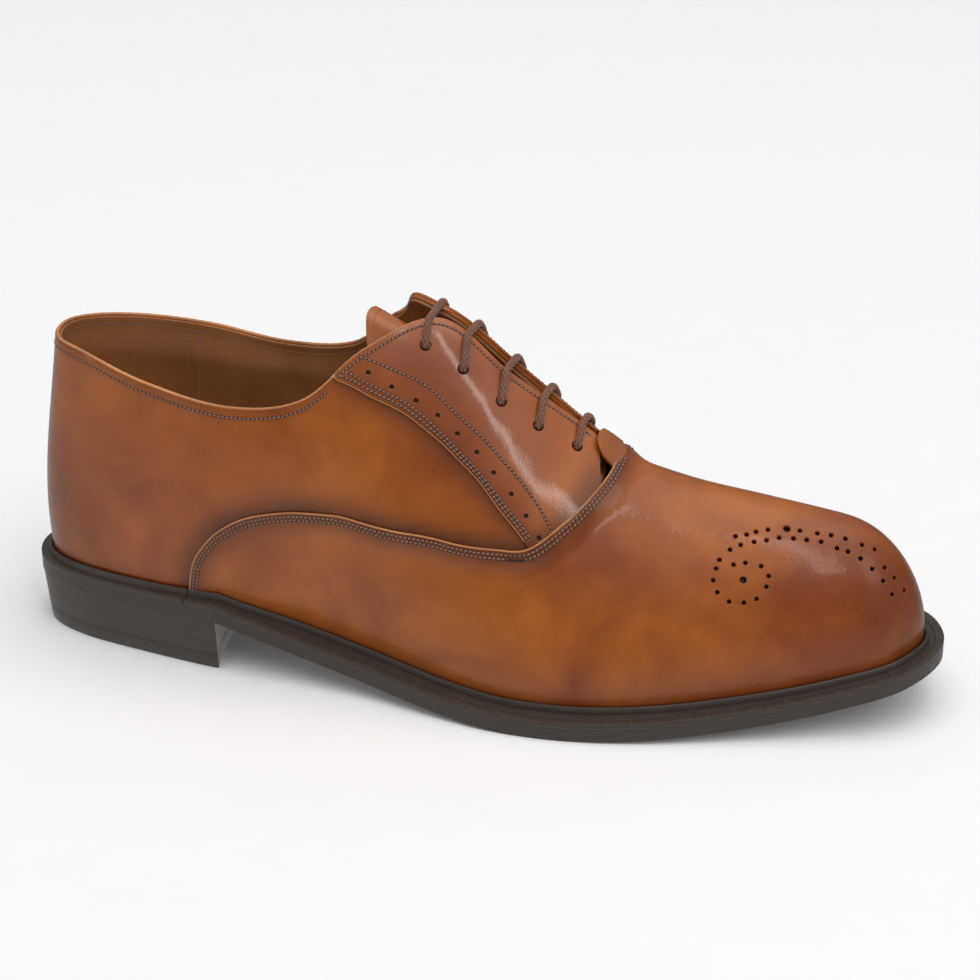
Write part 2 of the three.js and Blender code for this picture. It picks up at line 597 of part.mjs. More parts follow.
// A cross line of the tongue: from low on the outer side, over the top, to low on the inner side.
function arch(w, depth) {
  const outer = ARCH_HEIGHTS.map((v) => skin(w, v, depth)).filter((p) => p.y < -ARCH_CLEAR);
  const inner = ARCH_HEIGHTS.map((v) => skin(RING - w, v, depth)).filter((p) => p.y > ARCH_CLEAR);
  return new THREE.CatmullRomCurve3([...outer, ...inner.reverse()], false, 'centripetal');
}

// The middle share of a cross line, from the inner side to the outer.
function middlePart(line, wide, beyond) {
  return steps(0.5 + wide / 2, 0.5 - wide / 2, 10)
    .map((t) => line.getPointAt(t).addScaledVector(TIP_WAY, beyond));
}

function tongueGrid(depth, trim) {
  const less = trim / 30;
  const body = steps(TONGUE_START, TONGUE_TURN, 9).map((w) => {
    const upwards = (TONGUE_START - w) / (TONGUE_START - TONGUE_TURN);
    return middlePart(arch(w, depth), 1 - (1 - TIP_WIDE) * upwards ** 2 - less, 0);
  });
  const turn = arch(TONGUE_TURN, depth);
  const tip = [0.25, 0.5, 0.7, 0.84, 0.93, 0.98].map((part) =>
    middlePart(turn, TIP_WIDE * Math.sqrt(1 - part ** 3.2) - less, part * (TIP_LENGTH - trim)));
  return [...body, ...tip];
}

function buildTongue() {
  const layer = (top, thickness, trim) =>
    bodyFromGrids(tongueGrid(top, trim), tongueGrid(top - thickness, trim));
  add('tongue', layer(TONGUE_TOP, TONGUE_LEATHER, 0), 'tan');
  const liningTop = TONGUE_TOP - TONGUE_LEATHER - LAYER_GAP;
  add('tongue_lining', layer(liningTop, LINING_LEATHER, LINING_TRIM), 'lining');
}

// The little rounded tab that stands over the throat.
const TAB_AHEAD = 0.12;          // its root, in stations in front of the vamp seam
function buildTab() {
  const half = TAB_WIDTH / 2;
  const shape = new THREE.Shape();
  shape.moveTo(0, -half);
  shape.lineTo(TAB_LENGTH - half, -half);
  shape.absarc(TAB_LENGTH - half, 0, half, -Math.PI / 2, Math.PI / 2, false);
  shape.lineTo(0, half);
  shape.closePath();
  const sheet = { depth: FACING_LEATHER, bevelEnabled: false, curveSegments: 6 };
  const tab = new THREE.ExtrudeGeometry(shape, sheet);
  const w = VAMP_SEAM.at(-1)[0] + TAB_AHEAD;
  const seat = skin(w, 1, GAP);
  tab.rotateZ(Math.PI).rotateY(THREE.MathUtils.degToRad(TAB_LEAN)).translate(seat.x, seat.y, seat.z);
  add('throat_tab', tab, 'brown');
}

// One lace in straight bars: across on top, then up to the next pair underneath; both ends tucked in.
const LACE_FIRST_END = [[9.35, 0.86], [9.0, 0.86]];
const LACE_LAST_END = [[6.95, 0.78], [7.15, 0.68], [7.35, 0.6]];
const HOOK = 0.35;               // share of the way from the hole to the edge where the bar lies down
function lacePath() {
  const at = (side, w, v, depth) => skin(side ? RING - w : w, v, depth);
  const points = LACE_FIRST_END.map(([w, v]) => at(0, w, v, LACE_DEPTH));
  const order = [...EYELETS].reverse();
  order.forEach(([w, v], i) => {
    const from = i % 2;
    const to = 1 - from;
    const lean = v + (1 - v) * HOOK;
    const up = [
      [v, LACE_DEPTH], [v, OUTER[0]], [v, OVERLAY[1] + LAYER_GAP], [lean, LACE_OVER], [1, LACE_OVER],
    ];
    points.push(...up.map(([height, depth]) => at(from, w, height, depth)));
    points.push(...up.map(([height, depth]) => at(to, w, height, depth)).reverse());
    const next = order[i + 1];
    if (next) points.push(at(to, (w + next[0]) / 2, (v + next[1]) / 2, LACE_DEPTH));
  });
  const side = order.length % 2;
  points.push(...LACE_LAST_END.map(([w, v]) => at(side, w, v, LACE_DEPTH)));
  return points;
}

function buildLace() {
  const points = lacePath();
  const radius = LACE_DIAMETER / 2;
  const section = new THREE.Shape();
  section.absarc(0, 0, radius, 0, 2 * Math.PI, false);
  const path = new THREE.CatmullRomCurve3(points, false, 'centripetal');
  path.arcLengthDivisions = 1200;
  const sweep = { steps: 130, curveSegments: 4, bevelEnabled: false, extrudePath: path };
  const tube = new THREE.ExtrudeGeometry(section, sweep);
  add('lace', tube, 'lace');
  const ends = [[points[0], path.getTangent(0).negate()], [points.at(-1), path.getTangent(1)]];
  const aglet = radius - GAP;
  ends.forEach(([end, way], i) => {
    const middle = end.clone().addScaledVector(way, GAP + AGLET_LENGTH / 2);
    const rod = new THREE.CylinderGeometry(aglet, aglet, AGLET_LENGTH, 8);
    add(`aglet_${i + 1}`, place(rod, middle, way), 'brown');
  });
}

buildSole();
buildHeel();
buildUpper();
buildTongue();
buildTab();
buildLace();

export default shoe;
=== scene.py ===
import math

import bpy
import numpy as np
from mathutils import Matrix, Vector


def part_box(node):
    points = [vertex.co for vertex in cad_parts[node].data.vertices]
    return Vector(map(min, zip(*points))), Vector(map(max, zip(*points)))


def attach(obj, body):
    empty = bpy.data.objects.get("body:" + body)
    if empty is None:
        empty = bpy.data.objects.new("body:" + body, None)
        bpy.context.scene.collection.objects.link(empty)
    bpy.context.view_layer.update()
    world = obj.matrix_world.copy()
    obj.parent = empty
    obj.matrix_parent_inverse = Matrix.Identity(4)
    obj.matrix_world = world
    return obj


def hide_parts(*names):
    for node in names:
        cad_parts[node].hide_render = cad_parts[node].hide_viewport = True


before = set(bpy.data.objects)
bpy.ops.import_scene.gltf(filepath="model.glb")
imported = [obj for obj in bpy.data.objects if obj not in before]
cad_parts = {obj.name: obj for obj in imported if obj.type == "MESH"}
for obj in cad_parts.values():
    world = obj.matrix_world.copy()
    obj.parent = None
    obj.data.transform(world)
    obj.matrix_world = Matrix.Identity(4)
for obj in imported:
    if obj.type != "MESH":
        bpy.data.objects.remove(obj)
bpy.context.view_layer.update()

bl_info = {
    "name": "Leather Oxford Shoe",
    "version": (1, 0, 0),
    "blender": (4, 5, 0),
    "location": "View3D > Sidebar > Shoe",
    "description": "Makes a welted leather oxford shoe, piece by piece, round its packed frame",
    "category": "Object",
}

# ---- The last, in millimetres --------------------------------------------------------------------
# A ring of profiles: station 0 is the heel's back, 14 the toe, and the ring runs heel, outer side,
# toe, inner side, heel. Every leather piece is a patch of it, in (station, height) and a depth.
# One row for each station: sole edge x, outer y, inner y, welt margin; top of the profile x, outer y,
# inner y, outer z, inner z; its pull at the top x, y, z; its pull at the bottom up, out.
STATIONS = np.array([
    [0, 0, 0, 4.6, 12.5, 0, 0, 101, 101, -3, 0, -26, 26, 3],
    [6, -15.5, 15.5, 4.2, 17, -15, 15, 101, 99, -2, 3, -26, 26, 3],
    [22, -25, 25, 3.6, 31, -24.5, 24.5, 100, 97, 0, 2, -26, 26, 3.5],
    [48, -31, 30, 3.4, 53, -28.5, 27.5, 93.5, 95, 0, 2, -24, 26, 3.5],
    [76, -35.5, 29.5, 5.5, 80, -29, 26, 88.5, 92, 0, 3, -20, 24, 4],
    [103, -37.2, 26, 8, 104, -27, 23.5, 92.5, 95, 0, 7, -20, 24, 4],
    [128, -40.4, 26.5, 8.2, 122, -18.5, 16.5, 108, 109, 0, 12, -20, 24, 3.5],
    [150, -45.4, 32, 8.2, 142, -4.5, 4.5, 115, 115, 2, 17, -12, 24, 3.5],
    [170, -48.8, 39, 8.2, 165, -3.8, 3.8, 98.5, 98.5, 3, 20, -12, 22, 3.5],
    [192, -48.6, 46.5, 8.2, 196, 0.5, 0.5, 77.5, 77.5, 3, 22, -7, 20, 3.5],
    [216, -44, 47.5, 8.2, 218, 1.5, 1.5, 69, 69, 1, 22, -2, 18, 3.5],
    [243, -35, 45, 7.8, 240, 2.8, 2.8, 65, 65, 2, 20, -1, 17, 3],
    [271, -24.5, 40.5, 7.2, 256, 3.8, 3.8, 62.5, 62.5, 8, 16.5, -1.5, 16, 2.4],
    [291, -14, 30.5, 6.8, 264, 4.3, 4.3, 61.5, 61.5, 14, 10, -2, 15, 2],
    [300, 5.5, 5.5, 6.4, 267, 4.5, 4.5, 61, 61, 17, 0, -2.5, 15, 2],
], float)
MM = 0.001
TOE = len(STATIONS) - 1
RING = 2 * TOE
THROAT = 9                       # the station where the slit between the facings ends
MARGIN, TOP_Y, PULL_UP, PULL_OUT = 2, 4, 9, 10      # places in a row of the ring
sole_low, sole_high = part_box("outsole")
heel_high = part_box("heel_top_piece")[1]
ALONG = (sole_high[0] - sole_low[0]) / MM / STATIONS[TOE, 0]
HEEL_CENTRE = -sole_low[0] / MM
HEEL_LENGTH = (heel_high[0] - sole_low[0]) / MM
HEEL_HEIGHT = 17.5
WAIST_CURVE = 1.6
TOE_SPRING = 17                  # how far the toe of the sole lifts off the floor
BALL_BACK = 178 * ALONG          # the sole lies flat on the floor between these two
BALL_FRONT = 188 * ALONG
LENGTH = STATIONS[TOE, 0] * ALONG
WELT_BOTTOM = 3.9                # these four are over the sole's underside
WELT_TOP = 5.9
UPPER_BOTTOM = 6.2
SOCK_TOP = 9.7
FINE = 1e-3                      # a small step along the ring, for slopes


def ring_row(k):
    """One side's half of a station's row, the outer one up to the toe and the inner one after it."""
    inner = k > TOE
    r = STATIONS[RING - k if inner else k]
    side = 1 if inner else -1
    return [r[0] * ALONG, r[2] if inner else r[1], r[3], r[4] * ALONG, r[6] if inner else r[5],
            r[8] if inner else r[7], r[9], side * r[10], r[11], r[12], r[13]]


ROWS = np.array([ring_row(k) for k in range(RING)])


def station_of(w):
    """Distance round the ring from the heel, the same on both sides."""
    return np.minimum(np.mod(w, RING), np.mod(-np.asarray(w, float), RING))


def smooth(t):
    """Zero below 0, one above 1, with an S curve between."""
    t = np.clip(t, 0, 1)
    return t * t * (3 - 2 * t)


def spline_at(w):
    """The ring's row at any place, by a cubic through the four nearest rows."""
    w = np.asarray(w, float)
    i = np.floor(w).astype(int)
    t = (w - i)[..., None]
    a, b, c, d = (ROWS[(i + j) % RING] for j in (-1, 0, 1, 2))
    return 0.5 * (2 * b + (c - a) * t + (2 * a - 5 * b + 4 * c - d) * t ** 2
                  + (3 * b - a - 3 * c + d) * t ** 3)


def row_at(w):
    """The ring's row, with both sides meeting on one ridge line in front of the slit."""
    row = spline_at(w)
    k = station_of(w)
    ridge = (row[..., TOP_Y] + spline_at(RING - np.asarray(w, float))[..., TOP_Y]) / 2
    slit = np.where(k > THROAT - 1, 1 - np.clip(k - THROAT + 1, 0, 1) ** 4, 1.0)
    row[..., TOP_Y] = ridge + (row[..., TOP_Y] - ridge) * slit
    return row


def sole_height(x):
    """Height of the sole's underside over the floor."""
    x = np.asarray(x, float)
    waist = HEEL_HEIGHT * np.clip((BALL_BACK - x) / (BALL_BACK - HEEL_LENGTH), 0, 1) ** WAIST_CURVE
    toe = TOE_SPRING * (np.maximum(x - BALL_FRONT, 0) / (LENGTH - BALL_FRONT)) ** 2
    return np.where(x <= HEEL_LENGTH, HEEL_HEIGHT, waist + toe)


def edge_at(w, inset):
    """A point of the sole edge moved inwards: x, y and the edge's outward direction."""
    w = np.asarray(w, float)
    p, a, b = row_at(w), row_at(w - FINE), row_at(w + FINE)
    tx, ty = b[..., 0] - a[..., 0], b[..., 1] - a[..., 1]
    long = np.hypot(tx, ty)
    return p[..., 0] - ty / long * inset, p[..., 1] + tx / long * inset, ty / long, -tx / long, p


# The inner facing's upper corner stands a little higher than the outer one's.
CORNER_STATION = 21.5
CORNER_SPREAD = 0.28
CORNER_RISE = np.array([-3.0, 0.0, 3.3])


def last_point(w, v):
    """A point of the upper's outer face: a cubic from the welt (v = 0) to the top (v = 1)."""
    w, v = np.broadcast_arrays(np.asarray(w, float), np.asarray(v, float))
    row = row_at(w)
    x, y, nx, ny, _ = edge_at(w, row[..., MARGIN])
    base = sole_height(x) + UPPER_BOTTOM
    p0 = np.stack([x, y, base], -1)
    p1 = np.stack([x + nx * row[..., PULL_OUT], y + ny * row[..., PULL_OUT], base + row[..., PULL_UP]], -1)
    p3 = row[..., 3:6]
    p2 = p3 + row[..., 6:9]
    corner = smooth((v - 0.8) / 0.2) * np.exp(-((w - CORNER_STATION) / CORNER_SPREAD) ** 2)
    v = v[..., None]
    u = 1 - v
    return (u ** 3 * p0 + 3 * u * u * v * p1 + 3 * u * v * v * p2 + v ** 3 * p3
            + corner[..., None] * CORNER_RISE)


def unit(v):
    """The vectors at length one."""
    return v / np.maximum(np.linalg.norm(v, axis=-1, keepdims=True), 1e-12)


def last_normal(w, v):
    """The outward direction, turned upright along the ridge of the vamp and the facings."""
    w, v = np.broadcast_arrays(np.asarray(w, float), np.asarray(v, float))
    along = last_point(w + FINE, v) - last_point(w - FINE, v)
    up = last_point(w, np.minimum(v + FINE, 1.05)) - last_point(w, v - FINE)
    side = unit(np.cross(along, up))
    middle = np.minimum(station_of(w), TOE - 0.4)
    run = last_point(middle + 0.15, 1.0) - last_point(middle - 0.15, 1.0)
    ridge = unit(np.stack([-run[..., 2], 0 * run[..., 0], run[..., 0]], -1))
    near = smooth((v - 0.93) / 0.07) * smooth((station_of(w) - THROAT + 0.1) / 0.13)
    return unit(side * (1 - near[..., None]) + ridge * near[..., None])


def skin(w, v, depth=0.0):
    """The point at that depth under (minus) or over the upper's outer face."""
    return last_point(w, v) + last_normal(w, v) * np.asarray(depth, float)[..., None]


# ---- Seams, in (station, height) -----------------------------------------------------------------
VAMP_SEAM = [
    (3.58, 0.0), (3.61, 0.07), (3.67, 0.17), (3.89, 0.315), (4.26, 0.45), (4.84, 0.52), (5.49, 0.5),
    (5.97, 0.46), (6.58, 0.42), (7.22, 0.415), (7.9, 0.465), (8.33, 0.51), (8.6, 0.6), (8.83, 0.715),
    (9.01, 0.86), (9.07, 1.0)]
SWAN_NECK = [
    (5.53, 1.0), (5.6, 0.965), (6.04, 0.835), (6.48, 0.73), (6.9, 0.65), (7.29, 0.615), (7.68, 0.6),
    (8.0, 0.565), (8.28, 0.522), (8.42, 0.475)]
INNER_ROW = [
    (5.93, 0.985), (6.6, 0.81), (7.21, 0.72), (7.78, 0.71), (8.11, 0.68), (8.36, 0.635), (8.56, 0.58)]
EYELETS = [(6.83, 0.885), (7.36, 0.85), (7.88, 0.86), (8.28, 0.865), (8.64, 0.88)]
FACING_HOLES = [
    (6.09, 0.895), (6.41, 0.80), (6.73, 0.73), (7.03, 0.69), (7.32, 0.67), (7.61, 0.665),
    (7.85, 0.65), (8.08, 0.625), (8.26, 0.59), (8.42, 0.55)]
SPIRAL = [
    (10.66, 0.625), (10.64, 0.59), (10.63, 0.545), (10.70, 0.50), (10.85, 0.465), (11.02, 0.46),
    (11.16, 0.475), (11.26, 0.525), (11.28, 0.57), (11.18, 0.61), (10.98, 0.62), (10.84, 0.61)]
SPIRAL_HEART = (10.98, 0.55)
CREST = (11.50, 0.805)           # the one large hole of the inner run
OUTER_RUN = [
    (10.77, 0.67), (10.89, 0.695), (11.06, 0.715), (11.22, 0.73), (11.39, 0.75), (11.59, 0.755),
    (11.79, 0.755), (12.03, 0.75), (12.30, 0.715), (12.50, 0.695), (12.72, 0.65), (12.90, 0.585),
    (13.06, 0.51), (13.16, 0.425)]
INNER_RUN = [
    (10.81, 0.73), (10.95, 0.745), (11.07, 0.765), (11.23, 0.785), CREST, (11.70, 0.805),
    (12.00, 0.80), (12.27, 0.795), (12.58, 0.775), (12.95, 0.73), (13.24, 0.69), (13.23, 0.575),
    (13.36, 0.505), (13.48, 0.415)]
TOPLINE_END = 5.5


def run_of(line):
    """Distance along a line at each of its points."""
    return np.r_[0, np.cumsum(np.linalg.norm(np.diff(line, axis=0), axis=1))]


def at_run(line, run, at):
    """The line's points at the distances asked for."""
    return np.stack([np.interp(at, run, line[:, n]) for n in range(line.shape[1])], -1)


def curve(points, count):
    """A smooth line through the points, evenly spaced, as an array."""
    p = np.asarray(points, float)
    p = np.vstack([2 * p[0] - p[1], p, 2 * p[-1] - p[-2]])
    out = []
    for a, b, c, d in zip(p[:-3], p[1:-2], p[2:-1], p[3:]):
        t0, t1, t2 = (max(np.linalg.norm(n - m), 1e-9) ** 0.5 for m, n in ((a, b), (b, c), (c, d)))
        m1 = ((b - a) / t0 - (c - a) / (t0 + t1) + (c - b) / t1) * t1
        m2 = ((c - b) / t1 - (d - b) / (t1 + t2) + (d - c) / t2) * t1
        t = np.linspace(0, 1, 24, endpoint=False)[:, None]
        out.append(b + m1 * t + (-3 * b + 3 * c - 2 * m1 - m2) * t ** 2
                   + (2 * b - 2 * c + m1 + m2) * t ** 3)
    return resample(np.vstack([*out, p[-2:-1]]), count)


def resample(line, count, measure=None):
    """Points at even steps along a line; measure gives the points whose distances count."""
    run = run_of(line if measure is None else measure)
    return at_run(line, run, np.linspace(0, run[-1], count))


def on_last(line, count):
    """A (station, height) line in even steps over the leather."""
    fine = curve(line, 400)
    return resample(fine, count, last_point(fine[:, 0], fine[:, 1]))


def shifted(line, distance):
    """A (station, height) line moved sideways over the leather, upwards where distance is plus."""
    w, v = line[:, 0], line[:, 1]
    step = 0.01
    here = last_point(w, v)
    per_w = np.linalg.norm(last_point(w + step, v) - here, axis=1) / step
    per_v = np.linalg.norm(last_point(w, v + step) - here, axis=1) / step
    dw, dv = np.gradient(w) * per_w, np.gradient(v) * per_v
    long = np.maximum(np.hypot(dw, dv), 1e-9)
    return np.stack([w - dv / long * distance / per_w, v + dw / long * distance / per_v], -1)


def mirror_line(line):
    """A (station, height) line on the shoe's other side."""
    return np.stack([RING - line[:, 0], line[:, 1]], -1)


SEAM = on_last(VAMP_SEAM, 220)
SWAN = on_last(SWAN_NECK, 130)
SEAM_POINTS = [last_point(*line.T) for line in (SEAM, mirror_line(SEAM))]
SWAN_POINTS = [last_point(*line[:120].T) for line in (SWAN, mirror_line(SWAN))]


BATCH = 4000                     # points measured at one time, to spare memory


def distance_to(points, lines):
    """Distance from each point to the nearest point of the lines."""
    flat = points.reshape(-1, 3)
    track = np.vstack(lines)
    best = np.full(len(flat), np.inf)
    for start in range(0, len(flat), BATCH):
        part = flat[start:start + BATCH]
        gap = np.linalg.norm(part[:, None] - track[None], axis=-1)
        best[start:start + BATCH] = gap.min(axis=1)
    return best.reshape(points.shape[:-1])


# ---- Depths of the leathers, over the upper's outer face ------------------------------------------
QUARTER = (-1.0, 0.0)
FACING = (0.15, 0.95)
SEAM_FADE = 9.0                  # the vamp's raised edge sinks back over this distance
TUCK = 5.0                       # the quarter runs on under the vamp
FACING_TUCK = 3.0
VAMP_THICK = (0.8, 0.5)          # at the seam, and what is added further in
TUCK_SLOPE = 0.18                # how steeply the tucked edges go down, over their length
FACING_SLOPE = 0.2
LINING_UNDER = 1.15              # from the upper's outer face to the lining's
LINING_THICK = 1.0
STIFFENER_ROOM = 2.15            # how much further in the lining is over the counter and the toe puff


def edge_rise(w):
    """How far the vamp's edge stands over the leather under it: one layer, two at the facing."""
    return 1.0 + 0.95 * smooth((station_of(w) - 7.95) / 0.4)



def vamp_depths(w, v):
    """Raised along the seam, where the edge is pared thin, and level with the upper further in."""
    away = smooth(distance_to(last_point(w, v), SEAM_POINTS) / SEAM_FADE)
    outer = edge_rise(w) * (1 - away)
    return outer - VAMP_THICK[0] - VAMP_THICK[1] * away, outer


def lining_depths(w, v):
    """Close under the leather at the topline and the lacing, and further in over the stiffeners."""
    k = station_of(w)
    top = smooth((0.985 - v) / 0.16)
    away = np.maximum(smooth((5.7 - k) / 1.0), smooth((k - 9.2) / 0.8))
    outer = -LINING_UNDER - STIFFENER_ROOM * top * away
    return outer - LINING_THICK, outer


def under_seam(line, distance, depths, slope):
    """Depths that fall away past a line, for a layer tucked under the next one."""
    def at(w, v):
        d = distance_to(last_point(w, v), [last_point(*line.T), last_point(*mirror_line(line).T)])
        tucked = smooth((distance - d) / distance)
        return depths[0] - slope * distance * tucked, depths[1] - slope * distance * tucked
    return at


HALF_SLIT = 1.0
SLIT_STEPS = 251
LINING_TOP_DEPTH = -2.15


def slit_top(w, depth):
    """The highest point of a facing layer: clear of the slit, and cut back in a curve at the throat."""
    k = station_of(w)
    side = np.where(np.mod(w, RING) > TOE, 1, -1)
    heights = np.linspace(1, 0.5, SLIT_STEPS)
    every = skin(np.repeat(w, SLIT_STEPS), np.tile(heights, len(w)), np.full(SLIT_STEPS * len(w), depth))
    clear = np.repeat(side, SLIT_STEPS) * every[:, 1]
    good = clear.reshape(len(w), SLIT_STEPS) >= HALF_SLIT
    top = np.where((k > 6.5) & (k < THROAT + 0.1), heights[np.argmax(good, axis=1)], 1.0)
    return top - 0.19 * smooth((k - 8.78) / 0.17)


# ---- Meshes --------------------------------------------------------------------------------------
def to_frame(points):
    """Millimetres from the back of the heel to metres in the frame."""
    moved = np.array(points, float) - [HEEL_CENTRE, 0, 0]
    return moved * MM


def nothing_selected():
    """Leaves edit mode and deselects all, before the next operator."""
    if bpy.context.object and bpy.context.object.mode != "OBJECT":
        bpy.ops.object.mode_set(mode="OBJECT")
    bpy.ops.object.select_all(action="DESELECT")


def only(piece):
    """Selects the piece alone and makes it active."""
    nothing_selected()
    piece.select_set(True)
    bpy.context.view_layer.objects.active = piece


def mesh_piece(name, points, faces, marks=None):
    """A new object from points in millimetres; marks are the faces' material numbers."""
    mesh = bpy.data.meshes.new(name)
    mesh.from_pydata(to_frame(points).tolist(), [], faces)
    if marks is not None:
        mesh.polygons.foreach_set("material_index", marks)
    mesh.validate()
    mesh.update()
    piece = bpy.data.objects.new(name, mesh)
    bpy.context.scene.collection.objects.link(piece)
    only(piece)
    return piece


WELD = 250                       # points closer than a 250th of a millimetre become one


def grid_piece(name, front, back):
    """A closed sheet between two grids of points. Its cut edges get material 1, its back 2."""
    n, m = front.shape[:2]
    every = np.vstack([front.reshape(-1, 3), back.reshape(-1, 3)])
    near = np.round(every * WELD).astype(np.int64)
    _, first, ids = np.unique(near, axis=0, return_index=True, return_inverse=True)
    ids = ids.reshape(-1)
    f, b = ids[:n * m].reshape(n, m), ids[n * m:].reshape(n, m)
    faces, marks, walls = [], [], {}

    def face(corners, mark):
        kept = [c for i, c in enumerate(corners) if c != corners[i - 1]]
        if len(set(kept)) == len(kept) > 2:
            faces.append(kept)
            marks.append(mark)

    def wall(*corners):
        key = tuple(sorted(corners))
        if walls.pop(key, None) is None:
            walls[key] = corners

    for i in range(n - 1):
        for j in range(m - 1):
            face((f[i, j], f[i + 1, j], f[i + 1, j + 1], f[i, j + 1]), 0)
            face((b[i, j], b[i, j + 1], b[i + 1, j + 1], b[i + 1, j]), 2)
        wall(f[i, 0], b[i, 0], b[i + 1, 0], f[i + 1, 0])
        wall(f[i + 1, -1], b[i + 1, -1], b[i, -1], f[i, -1])
    for j in range(m - 1):
        wall(f[0, j], f[0, j + 1], b[0, j + 1], b[0, j])
        wall(f[-1, j + 1], f[-1, j], b[-1, j], b[-1, j + 1])
    for corners in walls.values():
        face(corners, 1)
    return mesh_piece(name, every[first], [[int(c) for c in corners] for corners in faces], marks)


def leather(name, columns, rows_up, depths):
    """A leather patch: columns are (station, low, high), depths a function of station and height."""
    w = np.repeat(columns[:, :1], rows_up + 1, axis=1)
    share = np.linspace(0, 1, rows_up + 1)[None]
    v = columns[:, 1:2] + (columns[:, 2:3] - columns[:, 1:2]) * share
    inner, outer = depths(w, v)
    return grid_piece(name, skin(w, v, outer), skin(w, v, inner))


def face_outwards(piece):
    """Turns every face of a closed piece outwards."""
    only(piece)
    bpy.ops.object.mode_set(mode="EDIT")
    bpy.ops.mesh.select_all(action="SELECT")
    bpy.ops.mesh.normals_make_consistent(inside=False)
    bpy.ops.object.mode_set(mode="OBJECT")


def modify(piece, kind, **settings):
    """Adds a modifier and applies it."""
    only(piece)
    modifier = piece.modifiers.new(kind.title(), kind)
    for key, value in settings.items():
        setattr(modifier, key, value)
    bpy.ops.object.modifier_apply(modifier=modifier.name)


def soften(piece, width, segments=2, angle=50):
    """Rounds the edges that are sharper than the angle."""
    modify(piece, "BEVEL", width=width * MM, segments=segments, limit_method="ANGLE",
           angle_limit=math.radians(angle), use_clamp_overlap=True, harden_normals=False)


def smooth_shade(piece, angle=35):
    """Smooth shading across the edges that are blunter than the angle."""
    only(piece)
    bpy.ops.object.shade_smooth_by_angle(angle=math.radians(angle), keep_sharp_edges=False)


def bore(piece, cutter):
    """Cuts a cutter's shape out of the piece."""
    modify(piece, "BOOLEAN", operation="DIFFERENCE", object=cutter, solver="MANIFOLD")


def remove(piece):
    """Deletes a helper object and its mesh."""
    mesh = piece.data
    bpy.data.objects.remove(piece)
    bpy.data.meshes.remove(mesh)


def repeated(name, template, places):
    """One mesh of a template's copies; each place is (middle, along, up, length, width, height)."""
    shape = np.array([v.co[:] for v in template.data.vertices])
    polygons = [list(p.vertices) for p in template.data.polygons]
    points, faces = [], []
    for middle, along, up, long, wide, high in places:
        across = np.cross(up, along)
        across /= np.linalg.norm(across)
        top = np.cross(along, across)
        turn = np.stack([along * long, across * wide, top * high])
        start = len(points) * len(shape)
        points.append(shape @ turn + middle)
        faces += [[start + i for i in polygon] for polygon in polygons]
    return mesh_piece(name, np.vstack(points), faces)


def ready(piece, materials, body, stands_for=(), angle=35):
    """Shading, finishes, the body it rides on and what it stands for."""
    smooth_shade(piece, angle)
    piece.data.materials.clear()
    for material in materials:
        piece.data.materials.append(material)
    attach(piece, body)
    if stands_for:
        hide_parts(*stands_for)
    return piece


def coordinates(piece):
    """The piece's points in millimetres from the back of the heel."""
    flat = np.empty(len(piece.data.vertices) * 3)
    piece.data.vertices.foreach_get("co", flat)
    return flat.reshape(-1, 3) / MM + [HEEL_CENTRE, 0, 0]


def write_attribute(piece, name, values):
    """A colour attribute from one row of values for each point."""
    attribute = piece.data.attributes.new(name, "FLOAT_COLOR", "POINT")
    rgba = np.ones((len(piece.data.vertices), 4))
    rgba[:, :values.shape[1]] = values
    attribute.data.foreach_set("color", rgba.reshape(-1))


# Polish, in millimetres: how dark, and how far out, along the vamp seam, the swan neck, the topline
# and the welt; the toe's share, start and length, and the heel's share and length.
DARK_LINES = [(0.85, 5.5), (0.6, 4.5), (0.35, 4), (0.25, 6)]
DARK_TOE = (0.55, 262, 34)
DARK_HEEL = (0.5, 26)
RED_REACH = 2.0
PALE_SPAN = (55, 150, 30)        # the pale field's back and front end and how softly they fade
PALE_HEIGHT = (18, 48, 20)       # its lower and upper end over the welt, and their fade
# The next span is painted shade on the tongue, where it runs down under the lace.
LACE_SHADE_SPAN = (136, 8)            # where the tongue goes dark under the lace, and over what length


def burnish_and_painted_light(piece, lace_shade=0.0):
    """Where burnishing has darkened the leather (red channel), the red of the welt line (green channel), the
    paler hand-rubbed fields (blue channel), and painted shade on the tongue under the lace (red channel)."""
    p = coordinates(piece)
    above = p[:, 2] - sole_height(p[:, 0]) - UPPER_BOTTOM
    seam = distance_to(p, SEAM_POINTS)
    swan = distance_to(p, SWAN_POINTS)
    top = distance_to(p, [TOPLINE_POINTS])
    over = np.maximum(above, 0)
    dark = np.maximum.reduce([
        *(share * np.exp(-(distance / reach) ** 2)
          for (share, reach), distance in zip(DARK_LINES, (seam, swan, top, over))),
        DARK_TOE[0] * smooth((p[:, 0] - DARK_TOE[1]) / DARK_TOE[2]),
        DARK_HEEL[0] * (1 - smooth(p[:, 0] / DARK_HEEL[1]))])
    red = np.exp(-(over / RED_REACH) ** 2)
    (back, front, soft), (low, high, fade) = PALE_SPAN, PALE_HEIGHT
    behind = smooth((p[:, 0] - back) / soft) * (1 - smooth((p[:, 0] - front) / soft))
    pale = behind * smooth((above - low) / fade) * (1 - smooth((above - high) / fade))
    # Painted shade: the tongue goes dark where it runs down under the lace, between the facings.
    dark = np.maximum(dark, lace_shade * smooth((p[:, 0] - LACE_SHADE_SPAN[0]) / LACE_SHADE_SPAN[1]))
    write_attribute(piece, "polish_and_painted_light", np.stack([dark, red, pale], -1))


TOPLINE_POINTS = last_point(np.linspace(-TOPLINE_END, TOPLINE_END, 200), 1.0)

# ---- Materials -----------------------------------------------------------------------------------


def colour(code):
    """An sRGB hex value as linear RGBA."""
    parts = [int(code[i:i + 2], 16) / 255 for i in (0, 2, 4)]
    return (*[c / 12.92 if c <= 0.04045 else ((c + 0.055) / 1.055) ** 2.4 for c in parts], 1.0)


